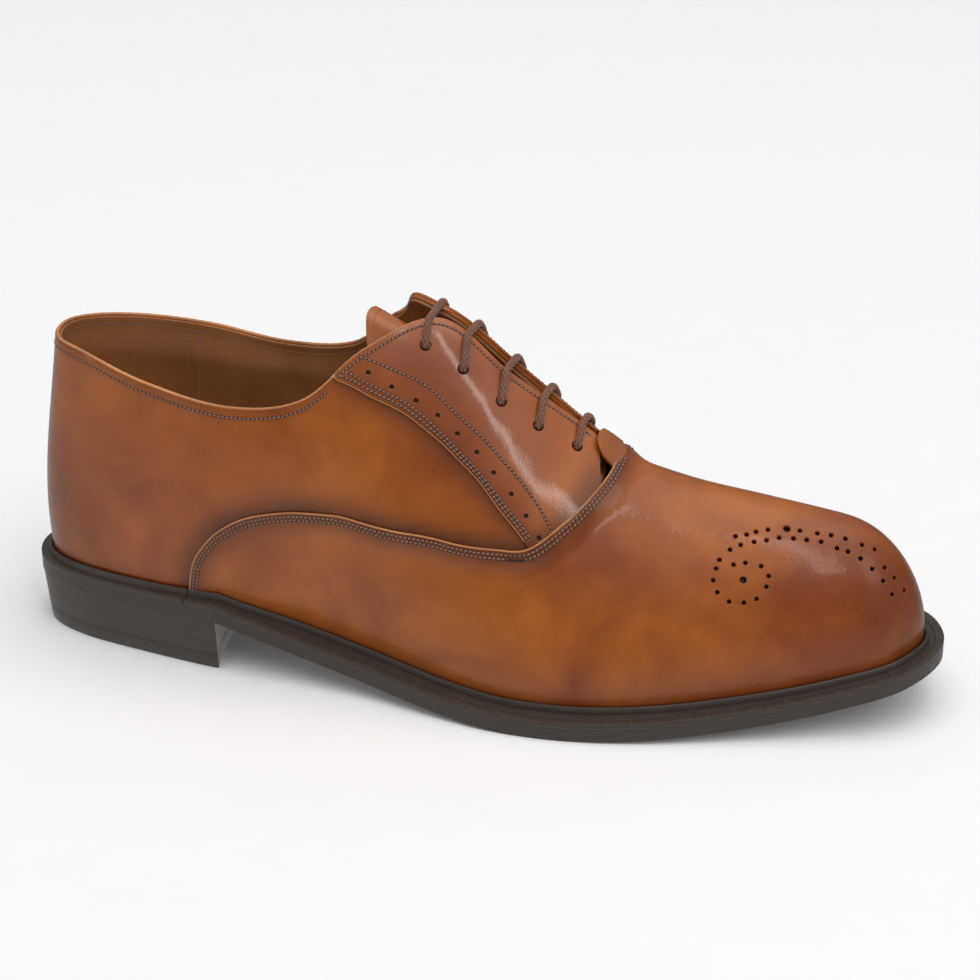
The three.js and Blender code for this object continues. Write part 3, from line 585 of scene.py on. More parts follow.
def node(tree, kind, settings=None, sockets=None):
    """Adds a node. settings are its properties, sockets its inputs: a value, or (node, output)."""
    made = tree.nodes.new(kind)
    for key, value in (settings or {}).items():
        setattr(made, key, value)
    for key, value in (sockets or {}).items():
        if isinstance(value, tuple) and isinstance(value[0], bpy.types.Node):
            tree.links.new(value[0].outputs[value[1]], made.inputs[key])
        else:
            made.inputs[key].default_value = value
    return made


def new_material(name):
    """An empty node material and its tree."""
    material = bpy.data.materials.new(name)
    material.use_nodes = True
    tree = material.node_tree
    tree.nodes.clear()
    return material, tree


def shade(tree, sockets):
    """The shader, with those inputs, on the material's output."""
    shader = node(tree, "ShaderNodeBsdfPrincipled", None, sockets)
    node(tree, "ShaderNodeOutputMaterial", None, {"Surface": (shader, "BSDF")})


def mixed(tree, factor, a, b, mode="MIX"):
    """Two colours mixed; sockets 0, 6 and 7 are the colour mode's factor and its two inputs."""
    return node(tree, "ShaderNodeMix", {"data_type": "RGBA", "blend_type": mode}, {0: factor, 6: a, 7: b})


def ramp(tree, source, stops):
    """A colour ramp with those (place, colour) stops."""
    made = node(tree, "ShaderNodeValToRGB", None, {"Fac": source})
    elements = made.color_ramp.elements
    while len(elements) < len(stops):
        elements.new(0.5)
    for element, (place, value) in zip(elements, stops):
        element.position = place
        element.color = value
    return made


def calf(name, fields, middle, dark, red, roughness=0.3, coat=0.45, edge_dark=0.9, ripple=0.12,
         loose=0.14):
    """Vegetable-tanned calf, hand burnished and waxed: cloudy tan fields that go brown at the seams
    and oxblood along the welt, under a clear glaze; its grain is 0.5 mm, drawn at 0.8 mm to show."""
    material, tree = new_material(name)
    place = node(tree, "ShaderNodeTexCoord")
    clouds = node(tree, "ShaderNodeTexNoise", None,
                  {"Vector": (place, "Object"), "Scale": 24.0, "Detail": 3.0, "Roughness": 0.55,
                   "Distortion": 0.6})
    tone = ramp(tree, (clouds, "Fac"), [(0.34, colour(middle)), (0.64, colour(fields))])
    polish_and_painted_light = node(tree, "ShaderNodeAttribute", {"attribute_name": "polish_and_painted_light"})
    parts = node(tree, "ShaderNodeSeparateColor", None, {"Color": (polish_and_painted_light, "Color")})
    pale = node(tree, "ShaderNodeMath", {"operation": "MULTIPLY"}, {0: (parts, "Blue"), 1: 0.55})
    lit = mixed(tree, (pale, 0), (tone, "Color"), colour(fields))
    streaks = node(tree, "ShaderNodeTexNoise", None,
                   {"Vector": (place, "Object"), "Scale": 90.0, "Detail": 4.0, "Roughness": 0.6})
    uneven = node(tree, "ShaderNodeMapRange", None,
                  {"Value": (streaks, "Fac"), "From Min": 0.3, "From Max": 0.7,
                   "To Min": 0.72, "To Max": 1.1})
    # The red channel's darkening: burnishing at the seams, toe and heel, and painted shade on the tongue
    # under the lace.
    burnish_and_shade = node(tree, "ShaderNodeMath", {"operation": "MULTIPLY", "use_clamp": True},
                  {0: (parts, "Red"), 1: (uneven, "Result")})
    deep = node(tree, "ShaderNodeMath", {"operation": "MULTIPLY", "use_clamp": True},
                {0: (burnish_and_shade, 0), 1: edge_dark})
    browned = mixed(tree, (deep, 0), (lit, 2), colour(dark))
    welted = node(tree, "ShaderNodeMath", {"operation": "MULTIPLY", "use_clamp": True},
                  {0: (parts, "Green"), 1: 0.8})
    base = mixed(tree, (welted, 0), (browned, 2), colour(red))
    mottle = ramp(tree, (streaks, "Fac"), [(0.3, colour("D8D8D8")), (0.7, colour("FFFFFF"))])
    final = mixed(tree, 0.5, (base, 2), (mottle, "Color"), "MULTIPLY")
    cells = node(tree, "ShaderNodeTexVoronoi", {"feature": "DISTANCE_TO_EDGE"},
                 {"Vector": (place, "Object"), "Scale": 1250.0})
    pores = node(tree, "ShaderNodeTexNoise", None,
                 {"Vector": (place, "Object"), "Scale": 420.0, "Detail": 3.0, "Roughness": 0.6})
    grain = node(tree, "ShaderNodeBump", None,
                 {"Height": (cells, "Distance"), "Strength": 0.08, "Distance": 0.0002})
    waves = node(tree, "ShaderNodeBump", None,
                 {"Height": (pores, "Fac"), "Strength": ripple, "Distance": 0.0004,
                  "Normal": (grain, "Normal")})
    soft = node(tree, "ShaderNodeTexNoise", None, {"Vector": (place, "Object"), "Scale": 55.0, "Detail": 1.0})
    slack = node(tree, "ShaderNodeBump", None,
                 {"Height": (soft, "Fac"), "Strength": loose, "Distance": 0.0012,
                  "Normal": (waves, "Normal")})
    gloss = node(tree, "ShaderNodeMapRange", None,
                 {"Value": (streaks, "Fac"), "From Min": 0.3, "From Max": 0.7,
                  "To Min": roughness, "To Max": roughness + 0.12})
    shade(tree, {"Base Color": (final, 2), "Roughness": (gloss, "Result"), "IOR": 1.42,
                 "Normal": (slack, "Normal"), "Coat Weight": coat, "Coat Roughness": 0.07,
                 "Coat Normal": (slack, "Normal")})
    return material


def plain_leather(name, light, dark, roughness, scale=300.0, bump=0.3, coat=0.0, spread=(0.3, 0.7)):
    """Smooth leather with no burnishing, two close tones and a fine nap; it also colours the painted
    stitch-groove shade.
    """
    material, tree = new_material(name)
    place = node(tree, "ShaderNodeTexCoord")
    broad = node(tree, "ShaderNodeTexNoise", None,
                 {"Vector": (place, "Object"), "Scale": 35.0, "Detail": 6.0, "Roughness": 0.65})
    tone = ramp(tree, (broad, "Fac"), [(spread[0], colour(dark)), (spread[1], colour(light))])
    nap = node(tree, "ShaderNodeTexNoise", None,
               {"Vector": (place, "Object"), "Scale": scale, "Detail": 4.0, "Roughness": 0.6})
    bumped = node(tree, "ShaderNodeBump", None,
                  {"Height": (nap, "Fac"), "Strength": bump, "Distance": 0.0003})
    rough = node(tree, "ShaderNodeMapRange", None,
                 {"Value": (nap, "Fac"), "To Min": roughness - 0.08, "To Max": roughness + 0.08})
    shade(tree, {"Base Color": (tone, "Color"), "Roughness": (rough, "Result"),
                 "Normal": (bumped, "Normal"), "Coat Weight": coat, "Coat Roughness": 0.25})
    return material


def spun(name, light, dark, roughness):
    """Waxed cotton, plaited or twisted: its colour on the strands' crowns and painted shade where the mark is
    low.
    """
    material, tree = new_material(name)
    place = node(tree, "ShaderNodeTexCoord")
    strands = node(tree, "ShaderNodeAttribute", {"attribute_name": "strand_shade"})
    parts = node(tree, "ShaderNodeSeparateColor", None, {"Color": (strands, "Color")})
    fibres = node(tree, "ShaderNodeTexNoise", None,
                  {"Vector": (place, "Object"), "Scale": 2600.0, "Detail": 2.0})
    crown = node(tree, "ShaderNodeMath", {"operation": "MULTIPLY_ADD", "use_clamp": True},
                 {0: (fibres, "Fac"), 1: 0.5, 2: (parts, "Red")})
    lift = node(tree, "ShaderNodeMath", {"operation": "SUBTRACT", "use_clamp": True},
                {0: (crown, 0), 1: 0.25})
    # Painted shade: the dark colour goes where the strands dip between their crowns.
    tone = mixed(tree, (lift, 0), colour(dark), colour(light))
    bumped = node(tree, "ShaderNodeBump", None,
                  {"Height": (fibres, "Fac"), "Strength": 0.5, "Distance": 0.0001})
    shade(tree, {"Base Color": (tone, 2), "Roughness": roughness, "Normal": (bumped, "Normal"),
                 "Sheen Weight": 0.3, "Sheen Roughness": 0.4})
    return material


def metal(name, tint, roughness, scale):
    """Pressed or drawn metal with fine working marks."""
    material, tree = new_material(name)
    place = node(tree, "ShaderNodeTexCoord")
    marks = node(tree, "ShaderNodeTexNoise", None,
                 {"Vector": (place, "Object"), "Scale": scale, "Detail": 4.0})
    tone = ramp(tree, (marks, "Fac"), [(0.3, colour("303030")), (0.7, colour("FFFFFF"))])
    worn = mixed(tree, 0.25, colour(tint), (tone, "Color"), "MULTIPLY")
    rough = node(tree, "ShaderNodeMapRange", None,
                 {"Value": (marks, "Fac"), "To Min": roughness - 0.1, "To Max": roughness + 0.1})
    shade(tree, {"Base Color": (worn, 2), "Metallic": 1.0, "Roughness": (rough, "Result")})
    return material


def granular(name, light, dark, size):
    """Pressed cork: pale grains of that size in millimetres, with dark bark between."""
    material, tree = new_material(name)
    place = node(tree, "ShaderNodeTexCoord")
    grains = node(tree, "ShaderNodeTexVoronoi", None,
                  {"Vector": (place, "Object"), "Scale": 1000.0 / size})
    tone = ramp(tree, (grains, "Distance"), [(0.25, colour(light)), (0.75, colour(dark))])
    bumped = node(tree, "ShaderNodeBump", None,
                  {"Height": (grains, "Distance"), "Strength": 0.4, "Distance": 0.0004})
    shade(tree, {"Base Color": (tone, "Color"), "Roughness": 0.9, "Normal": (bumped, "Normal")})
    return material


def blacked_edge(name, light, dark, roughness, coat, gloss=0.5):
    """Leather sole edge, inked, waxed and hot-set: near black brown with long faint fibre lines.
    The welt's top is inked but not waxed, which leaves it duller and darker."""
    material, tree = new_material(name)
    place = node(tree, "ShaderNodeTexCoord")
    flat = node(tree, "ShaderNodeMapping", None, {"Vector": (place, "Object"), "Scale": (1.0, 1.0, 9.0)})
    fibres = node(tree, "ShaderNodeTexNoise", None,
                  {"Vector": (flat, "Vector"), "Scale": 160.0, "Detail": 5.0, "Roughness": 0.6})
    tone = ramp(tree, (fibres, "Fac"), [(0.3, colour(dark)), (0.72, colour(light))])
    bumped = node(tree, "ShaderNodeBump", None,
                  {"Height": (fibres, "Fac"), "Strength": 0.1, "Distance": 0.0002})
    rough = node(tree, "ShaderNodeMapRange", None,
                 {"Value": (fibres, "Fac"), "To Min": roughness - 0.07, "To Max": roughness + 0.07})
    shade(tree, {"Base Color": (tone, "Color"), "Roughness": (rough, "Result"),
                 "Normal": (bumped, "Normal"), "Specular IOR Level": gloss, "Coat Weight": coat,
                 "Coat Roughness": 0.3})
    return material


made_materials = {}


def finish(name):
    """A finish by name, made once, in the colours the user has set."""
    if name not in made_materials:
        tint = bpy.context.scene.shoe_colours
        recipes = {
            "burnished_calf": lambda: calf("burnished_calf", tint.field, tint.calf, tint.burnish_and_painted_light,
                                           tint.welt_line),
            "glazed_calf": lambda: calf("glazed_calf", tint.field, tint.calf, tint.burnish_and_painted_light,
                                        tint.welt_line, roughness=0.25, coat=1.0, edge_dark=0.7,
                                        ripple=0.03, loose=0.5),
            "browned_calf": lambda: plain_leather("browned_calf", "6A3A20", "4A2414", 0.35, coat=0.6),
            # Painted shade: a dark band under each stitch row stands for the shade in the sunk groove and the
            # stitch holes.
            "stitch_groove_shade": lambda: plain_leather("stitch_groove_shade", "3A1E14", "2A140D", 0.5, 900.0),
            "raw_calf_edge": lambda: plain_leather("raw_calf_edge", tint.cut_edge, "9A6238", 0.6, 900.0),
            "calf_lining": lambda: plain_leather("calf_lining", tint.lining, "8A5530", 0.5, 500.0,
                                                 coat=0.25),
            "flesh_side": lambda: plain_leather("flesh_side", "8A5A34", "70431F", 0.8, 700.0),
            "sock_leather": lambda: plain_leather("sock_leather", "A06A3C", "8C5930", 0.55, 450.0,
                                                  coat=0.2),
            "blacked_sole_edge": lambda: blacked_edge("blacked_sole_edge", tint.edge, "3A322C", 0.45,
                                                      0.25),
            "blacked_welt_top": lambda: blacked_edge("blacked_welt_top", "1E1815", "100C0A", 0.7, 0.0,
                                                     gloss=0.12),
            "sole_leather": lambda: plain_leather("sole_leather", "A27A50", "8B6540", 0.45, 260.0,
                                                  coat=0.3),
            "black_rubber": lambda: plain_leather("black_rubber", "2A2624", "1D1A19", 0.65, 800.0),
            # The lace's dark colour is painted shade between its strands.
            "waxed_cotton": lambda: spun("waxed_cotton", tint.lace, "2A140E", 0.6),
            "waxed_thread": lambda: spun("waxed_thread", tint.thread, "6A4030", 0.4),
            "black_thread": lambda: spun("black_thread", "2E2825", "161312", 0.6),
            "lace_film": lambda: plain_leather("lace_film", "4A2A1A", "3A2014", 0.25, 200.0, 0.05, 0.8),
            "spring_steel": lambda: metal("spring_steel", "8F949A", 0.35, 900.0),
            "bright_nail": lambda: metal("bright_nail", "A8A8A4", 0.3, 1200.0),
            "browned_brass": lambda: metal("browned_brass", "8A6436", 0.4, 1500.0),
            "pressed_cork": lambda: granular("pressed_cork", "B08858", "5A3C20", 1.2),
            # Partly the board's own dark brown, partly painted shade where the toe puff shows through the
            # punched toe holes.
            "dark_stiffener": lambda: plain_leather("dark_stiffener", "3A2216", "2A170E", 0.8, 500.0),
            "insole_bend": lambda: plain_leather("insole_bend", "B08A5E", "94704A", 0.7, 350.0),
        }
        made_materials[name] = recipes[name]()
    return made_materials[name]


# ---- What a user may change ----------------------------------------------------------------------
def length_setting(name, description, default):
    """A length a user may change, in metres."""
    return bpy.props.FloatProperty(name=name, description=description, default=default,
                                   unit="LENGTH", subtype="DISTANCE")


def colour_setting(name, description, default):
    """A colour a user may change, as an sRGB hex value."""
    return bpy.props.StringProperty(name=name, description=description + ", sRGB hex", default=default)


class ShoeSizes(bpy.types.PropertyGroup):
    lace: length_setting("Lace", "Diameter of the plaited lace", 0.0024)
    lace_strands: bpy.props.IntProperty(name="Strands", description="Strands each way round the lace",
                                        default=5, min=3, max=12)
    stitch_pitch: length_setting("Stitch pitch", "From one upper stitch to the next", 0.0014)
    thread: length_setting("Thread", "Thickness of the upper's thread", 0.00052)
    row_first: length_setting("First row", "First seam row from the leather's edge", 0.0012)
    row_second: length_setting("Second row", "Second seam row from the leather's edge", 0.0024)
    hole: length_setting("Punched hole", "Diameter of a punched decoration hole", 0.0015)
    lace_hole: length_setting("Lace hole", "Diameter of a lace hole in the facing", 0.0034)
    bead: length_setting("Topline bead", "Thickness of the rolled topline edge", 0.0012)
    wheel_pitch: length_setting("Wheel marks", "From one mark on the welt to the next", 0.0026)


class ShoeColours(bpy.types.PropertyGroup):
    field: colour_setting("Pale calf", "Hand-rubbed fields", "B2601A")
    calf: colour_setting("Calf", "Middle tone of the calf", "8C4213")
    # This dark colour is the burnishing's, and also the painted shade on the tongue under the lace.
    burnish_and_painted_light: colour_setting("Burnish", "Darkened seams and toe", "40201A")
    welt_line: colour_setting("Welt line", "Calf along the welt", "6A2A16")
    cut_edge: colour_setting("Cut edge", "Edges of the calf", "D8955F")
    lining: colour_setting("Lining", "Lining leather", "A66C3E")
    edge: colour_setting("Sole edge", "Inked sole edge", "443B34")
    lace: colour_setting("Lace", "Crowns of the lace's strands", "96644C")
    thread: colour_setting("Thread", "Upper's thread", "B08068")
    floor: colour_setting("Floor", "Studio floor", "F4F4F4")


# ---- Stage ---------------------------------------------------------------------------------------
CAMERA_PLACE = (0.29233, -0.60723, 0.32967)
CAMERA_AIM = (0.11652, 0.00602, 0.05557)
CAMERA_LENS = 79.99
FLOOR_DROP = 0.0002              # the floor lies just under the sole, so the two never share a face
SKY = [(0.3, "C4C4C4"), (0.44, "8A8A8A"), (0.52, "4C4C4C"), (0.7, "868686"), (0.95, "D0D0D0")]
CEILING_WAY = (-0.25, 0.22, -1.0)
CEILING_ANGLE = 75
CEILING_POWER = 1.3
# Soft boxes: name, place, what it aims at, width, height, watts.
BOXES = [("box_overhead", (0.30, 0.12, 1.3), (0.12, 0.0, 0.05), 1.3, 0.7, 1.6),
         ("box_window", (0.62, -0.72, 0.95), (0.12, 0.0, 0.08), 0.10, 0.75, 1.0),
         ("box_toe", (1.2, -0.5, 0.75), (0.20, 0.0, 0.04), 0.5, 0.5, 1.0),
         ("box_left", (-1.0, -0.75, 0.25), (0.0, 0.0, 0.06), 0.22, 0.9, 0.8)]


class SHOE_OT_stage(bpy.types.Operator):
    """Camera, floor, soft boxes and an even studio sky."""
    bl_idname = "shoe.stage"
    bl_label = "Stage"

    def execute(self, context):
        nothing_selected()
        way = Vector(CAMERA_AIM) - Vector(CAMERA_PLACE)
        bpy.ops.object.camera_add(location=CAMERA_PLACE, rotation=way.to_track_quat("-Z", "Y").to_euler())
        camera = context.object
        camera.name = "studio_camera"
        camera.data.lens = CAMERA_LENS
        camera.data.sensor_width = 36
        camera.data.clip_start = 0.01
        context.scene.camera = camera
        context.scene.view_settings.view_transform = "Standard"
        nothing_selected()
        bpy.ops.mesh.primitive_plane_add(size=12, location=(0, 0, -FLOOR_DROP))
        floor = context.object
        floor.name = "studio_floor"
        bpy.ops.object.transform_apply(location=True, rotation=True, scale=True)
        material, tree = new_material("matt_studio_paper")
        place = node(tree, "ShaderNodeTexCoord")
        tooth = node(tree, "ShaderNodeTexNoise", None, {"Vector": (place, "Object"), "Scale": 60.0})
        pale = ramp(tree, (tooth, "Fac"), [(0.0, colour(context.scene.shoe_colours.floor)),
                                           (1.0, colour("F7F7F7"))])
        shade(tree, {"Base Color": (pale, "Color"), "Roughness": 0.9, "Specular IOR Level": 0.0,
                     "Emission Color": (pale, "Color"), "Emission Strength": 0.06})
        floor.data.materials.append(material)
        floor.visible_glossy = False
        world = bpy.data.worlds.new("studio_sky")
        context.scene.world = world
        world.use_nodes = True
        # A dim band at eye level between the pale table and the bright ceiling: the leather takes its
        # depth of colour from the band and its sheen from the ceiling.
        sky = world.node_tree
        way = node(sky, "ShaderNodeTexCoord")
        height = node(sky, "ShaderNodeSeparateXYZ", None, {"Vector": (way, "Generated")})
        level = node(sky, "ShaderNodeMapRange", None,
                     {"Value": (height, "Z"), "From Min": -1.0, "From Max": 1.0})
        glow = ramp(sky, (level, "Result"), [(place, colour(code)) for place, code in SKY])
        sky.links.new(glow.outputs["Color"], sky.nodes["Background"].inputs["Color"])
        nothing_selected()
        down = Vector(CEILING_WAY).to_track_quat("-Z", "Y").to_euler()
        bpy.ops.object.light_add(type="SUN", location=(0.3, -0.3, 1.2), rotation=down)
        context.object.name = "ceiling_glow"
        context.object.data.angle = math.radians(CEILING_ANGLE)
        context.object.data.energy = CEILING_POWER
        context.object.visible_glossy = False
        for name, spot, aim, wide, high, power in BOXES:
            nothing_selected()
            turn = (Vector(aim) - Vector(spot)).to_track_quat("-Z", "Y").to_euler()
            bpy.ops.object.light_add(type="AREA", location=spot, rotation=turn)
            light = context.object
            light.name = name
            light.data.shape = "RECTANGLE"
            light.data.size = wide
            light.data.size_y = high
            light.data.energy = power
        return {"FINISHED"}


# ---- Lace ----------------------------------------------------------------------------------------
LACE_INSIDE = -6.2               # depth of the runs under the facings
LACE_OVER = 2.15                 # height of the bars over them
AGLET_LENGTH = 11.0
AGLET_WIDE = 0.82                # share of the lace's radius
LACE_STEP = 0.24                 # from one ring of the braid to the next
LACE_HEAD = [(9.35, 0.86), (9.0, 0.86)]
LACE_TAIL = [(6.95, 0.78, 0.0), (7.15, 0.68, 0.0), (7.35, 0.6, -0.8)]


def lace_path():
    """Straight bars: across on top, then up to the next pair underneath; both ends tucked in."""
    def at(side, w, v, depth):
        return skin(np.array([RING - w if side else w]), np.array([v]), np.array([depth]))[0]
    points = [at(0, w, v, LACE_INSIDE) for w, v in LACE_HEAD]
    order = EYELETS[::-1]
    for i, (w, v) in enumerate(order):
        start, end = i % 2, 1 - i % 2
        lean = v + (1 - v) * 0.5
        up = [(v, LACE_INSIDE), (v, -1.6), (v + 0.006, 1.2), (lean, LACE_OVER), (0.97, LACE_OVER)]
        points += [at(start, w, height, depth) for height, depth in up]
        ends = at(start, w, 0.975, LACE_OVER) + at(end, w, 0.975, LACE_OVER)
        points.append(ends / 2 + [0.1, 0, 0.35])
        points += [at(end, w, height, depth) for height, depth in up[::-1]]
        if i + 1 < len(order):
            n = order[i + 1]
            points.append(at(end, (w + n[0]) / 2, (v + n[1]) / 2, LACE_INSIDE))
    side = len(order) % 2
    points += [at(side, w, v, LACE_INSIDE + deeper) for w, v, deeper in LACE_TAIL]
    return np.array(points)


def frames_along(line):
    """Tangents and two square directions that don't twist, for a tube along the line."""
    tangents = unit(np.gradient(line, axis=0))
    side = unit(np.cross(tangents[0], [0.2, 0.3, 1.0]))
    sides = []
    for t in tangents:
        side = side - t * (side @ t)
        side = side / np.linalg.norm(side)
        sides.append(side)
    sides = np.array(sides)
    return tangents, sides, np.cross(tangents, sides)


def tube(name, line, radius, around):
    """A closed tube; radius is a function of the ring's place and angle, both arrays."""
    _, side, up = frames_along(line)
    run = run_of(line)
    angle = np.linspace(0, 2 * math.pi, around, endpoint=False)
    r, mark = radius(run[:, None], angle[None])
    rings = line[:, None] + r[..., None] * (side[:, None] * np.cos(angle)[None, :, None]
                                            + up[:, None] * np.sin(angle)[None, :, None])
    n = len(line)
    faces = [[i * around + j, i * around + (j + 1) % around,
              (i + 1) * around + (j + 1) % around, (i + 1) * around + j]
             for i in range(n - 1) for j in range(around)]
    faces += [list(range(around))[::-1], [(n - 1) * around + j for j in range(around)]]
    piece = mesh_piece(name, rings.reshape(-1, 3), faces)
    # The radius function's mark sets the painted shade between the strands.
    write_attribute(piece, "strand_shade", np.repeat(mark.reshape(-1, 1), 3, axis=1))
    return piece


class SHOE_OT_lace(bpy.types.Operator):
    """The plaited cotton lace in its five bars, with a film tube on each end."""
    bl_idname = "shoe.lace"
    bl_label = "Lace"

    def execute(self, context):
        sizes = context.scene.shoe_sizes
        line = curve(lace_path(), 3000)
        line = resample(line, int(run_of(line)[-1] / LACE_STEP))
        around = sizes.lace_strands
        crown = sizes.lace / MM / 2
        pitch = 2 * math.pi * crown / around

        def plait(place, angle):
            a = around * angle / (2 * math.pi) + place / pitch / 1.25
            b = around * angle / (2 * math.pi) - place / pitch / 1.25
            over = (np.floor(a + 0.5) + np.floor(b + 0.5)) % 2 == 0
            height = np.where(over, np.abs(np.cos(math.pi * a)), np.abs(np.cos(math.pi * b)))
            return crown * (0.78 + 0.24 * height), height
        # The plait's height also marks where the painted shade between the strands goes.
        piece = tube("lace_braid", line, plait, 42)
        ready(piece, [finish("waxed_cotton")], "shoe", ["lace"], 60)
        for i, (tip, before) in enumerate(((line[0], line[6]), (line[-1], line[-7]))):
            way = unit(tip - before)
            nothing_selected()
            turn = Vector(way).to_track_quat("Z", "Y").to_euler()
            spot = to_frame(tip + way * (AGLET_LENGTH / 2 - 0.1))
            bpy.ops.mesh.primitive_cylinder_add(vertices=20, radius=crown * AGLET_WIDE * MM,
                                                depth=AGLET_LENGTH * MM, location=spot.tolist(),
                                                rotation=turn)
            film = context.object
            film.name = f"lace_tip_{i + 1}"
            bpy.ops.object.transform_apply(location=True, rotation=True, scale=True)
            soften(film, 0.25, 3)
            ready(film, [finish("lace_film")], "shoe", [f"aglet_{i + 1}"])
        return {"FINISHED"}


# ---- Sole and heel -------------------------------------------------------------------------------
def sole_plate(name, inset, low, high, stations, across=10, crown=None):
    """A plate that follows the sole's curve, between two heights over the sole's underside. inset is
    a function of the station, crown how far its sides curl up."""
    def line(height):
        ax, ay, _, _, _ = edge_at(stations, inset(stations))
        bx, by, _, _, _ = edge_at(RING - stations, inset(RING - stations))
        share = np.linspace(0, 1, across + 1)[None]
        x = ax[:, None] + (bx - ax)[:, None] * share
        y = ay[:, None] + (by - ay)[:, None] * share
        bow = crown * (np.abs(2 * share - 1) ** 2.5) if crown else 0
        return np.stack([x, y, sole_height(x) + height + bow], -1)
    return grid_piece(name, line(high), line(low))


def end_dense(low, high, count):
    """Numbers between two ends, closer together near both."""
    return low + (high - low) * (1 - np.cos(np.linspace(0, math.pi, count))) / 2


WELT_JOINT = 3.57                # the station where the welt meets the heel rand
JOINT_GAP = 0.006                # half the gap between the two, in stations
WELT_UNDER = 1.2                 # how far the welt runs in under the upper
WHEEL_DIP, RIM_DIP = 0.16, 0.1   # how deep a wheel mark goes on the strip's shoulder and its top
# Across the strip: from the inside of its underside, round the outer edge, over the ridge that stands
# against the upper, to the inside of its top. Each row is the inset from the outer edge, or from the
# inner edge where it is under zero, the height over the sole's underside, and the wheel mark's depth.
WELT_PROFILE = [
    (None, WELT_BOTTOM - 0.03, 0), (0.05, WELT_BOTTOM - 0.03, 0), (0.0, WELT_BOTTOM + 0.03, 0),
    (0.0, WELT_TOP - 0.35, 0), (0.1, WELT_TOP - 0.08, WHEEL_DIP), (0.4, WELT_TOP, WHEEL_DIP),
    (0.9, WELT_TOP - 0.02, RIM_DIP), (1.5, WELT_TOP, 0), (-3.1, WELT_TOP, 0),
    (-2.9, WELT_TOP + 1.7, 0), (-2.5, WELT_TOP + 2.15, 0), (-1.9, WELT_TOP + 2.1, 0),
    (-1.7, WELT_TOP + 0.1, 0), (None, WELT_TOP, 0)]
WELT_TOP_ROWS = range(5, 13)     # the rows that are inked but not waxed


def welt_ring(name, low, high, context):
    """The welt or rand: a strip with a rounded edge and wheel marks along its upper rim."""
    pitch = context.scene.shoe_sizes.wheel_pitch / MM
    rough = np.linspace(low, high, 4000)
    x, y, _, _, _ = edge_at(rough, 0.0)
    run = run_of(np.stack([x, y], -1))
    at = np.linspace(0, run[-1], int(run[-1] / pitch * 6))
    w = np.interp(at, run, rough)
    mark = 0.5 + 0.5 * np.cos(2 * math.pi * at / pitch)
    margin = row_at(w)[:, MARGIN] + WELT_UNDER
    grid = []
    for inset, height, dip in WELT_PROFILE:
        reach = margin if inset is None else margin + inset if inset < 0 else np.full(len(w), inset)
        px, py, _, _, _ = edge_at(w, reach)
        grid.append(np.stack([px, py, sole_height(px) + height - mark * dip], -1))
    grid = np.array(grid)
    rows, n = grid.shape[:2]
    faces = [[i * n + j + 1, i * n + j, ((i + 1) % rows) * n + j, ((i + 1) % rows) * n + j + 1][::-1]
             for i in range(rows) for j in range(n - 1)]
    marks = [int(i in WELT_TOP_ROWS) for i in range(rows) for j in range(n - 1)]
    faces += [[i * n for i in range(rows)], [i * n + n - 1 for i in range(rows)][::-1]]
    piece = mesh_piece(name, grid.reshape(-1, 3), faces, marks + [0, 0])
    face_outwards(piece)
    return piece


SOCK_INSET = 4.7                 # the sock's edge, in from the upper's foot
SOCK_THICK = 1.0
SOCK_CURL = 0.5


class SHOE_OT_sole(bpy.types.Operator):
    """Outsole, welt, heel rand and the sock inside the shoe."""
    bl_idname = "shoe.sole"
    bl_label = "Sole"

    def execute(self, context):
        stations = end_dense(0, TOE, 240)
        outsole = sole_plate("leather_outsole", lambda w: np.zeros(len(w)), 0.0, WELT_BOTTOM - 0.05,
                             stations, 14)
        soften(outsole, 0.2, 3, 60)
        under = [int(p.normal.z < -0.75) for p in outsole.data.polygons]
        outsole.data.polygons.foreach_set("material_index", under)
        ready(outsole, [finish("blacked_sole_edge"), finish("sole_leather")], "shoe", ["outsole"])
        welt = welt_ring("stitched_welt", WELT_JOINT + JOINT_GAP, RING - WELT_JOINT - JOINT_GAP, context)
        ready(welt, [finish("blacked_sole_edge"), finish("blacked_welt_top")], "shoe", ["welt"],
              45)
        rand = welt_ring("heel_rand_strip", -WELT_JOINT + JOINT_GAP, WELT_JOINT - JOINT_GAP, context)
        ready(rand, [finish("blacked_sole_edge"), finish("blacked_welt_top")], "shoe", ["heel_rand"],
              45)
        sock = sole_plate("sock", lambda w: row_at(w)[..., MARGIN] + SOCK_INSET, SOCK_TOP - SOCK_THICK,
                          SOCK_TOP, end_dense(0.0, TOE, 150), 16, SOCK_CURL)
        soften(sock, 0.3, 2, 60)
        ready(sock, [finish("sock_leather")], "shoe", ["sock_liner"])
        return {"FINISHED"}


HEEL_SPAN = 4.2                  # stations each side of the back that hold the whole block
HEEL_HOLLOW = 10                 # how far the middle of the breast is drawn back
HEEL_INSET = 0.2
HEEL_TAPER = 1.6                 # how much further in the block is at the floor
LIFT_GAP = 0.3                   # between the rubber and the leather in the frame
LIFT_ROUND, RUBBER_ROUND = (0.02, 1), (0.25, 3)     # edge radius and segments


def heel_outline(height, count=150):
    """The block's outline round the back and across the hollowed breast, counter-clockwise."""
    w = np.linspace(-HEEL_SPAN, HEEL_SPAN, count * 3)
    x, y, _, _, _ = edge_at(w, HEEL_INSET + HEEL_TAPER * (1 - height / HEEL_HEIGHT))
    keep = x < HEEL_LENGTH - 1.2
    back = resample(np.stack([x[keep], y[keep]], -1), count)
    a, b = back[-1], back[0]
    t = np.linspace(0, 1, 40)[1:-1, None]
    low, high = np.array([HEEL_LENGTH, a[1]]), np.array([HEEL_LENGTH, b[1]])
    middle = np.array([HEEL_LENGTH - HEEL_HOLLOW, (a[1] + b[1]) / 2])
    breast = (1 - t) ** 2 * low + 2 * t * (1 - t) * middle + t ** 2 * high
    return np.vstack([back, low[None], breast, high[None]])


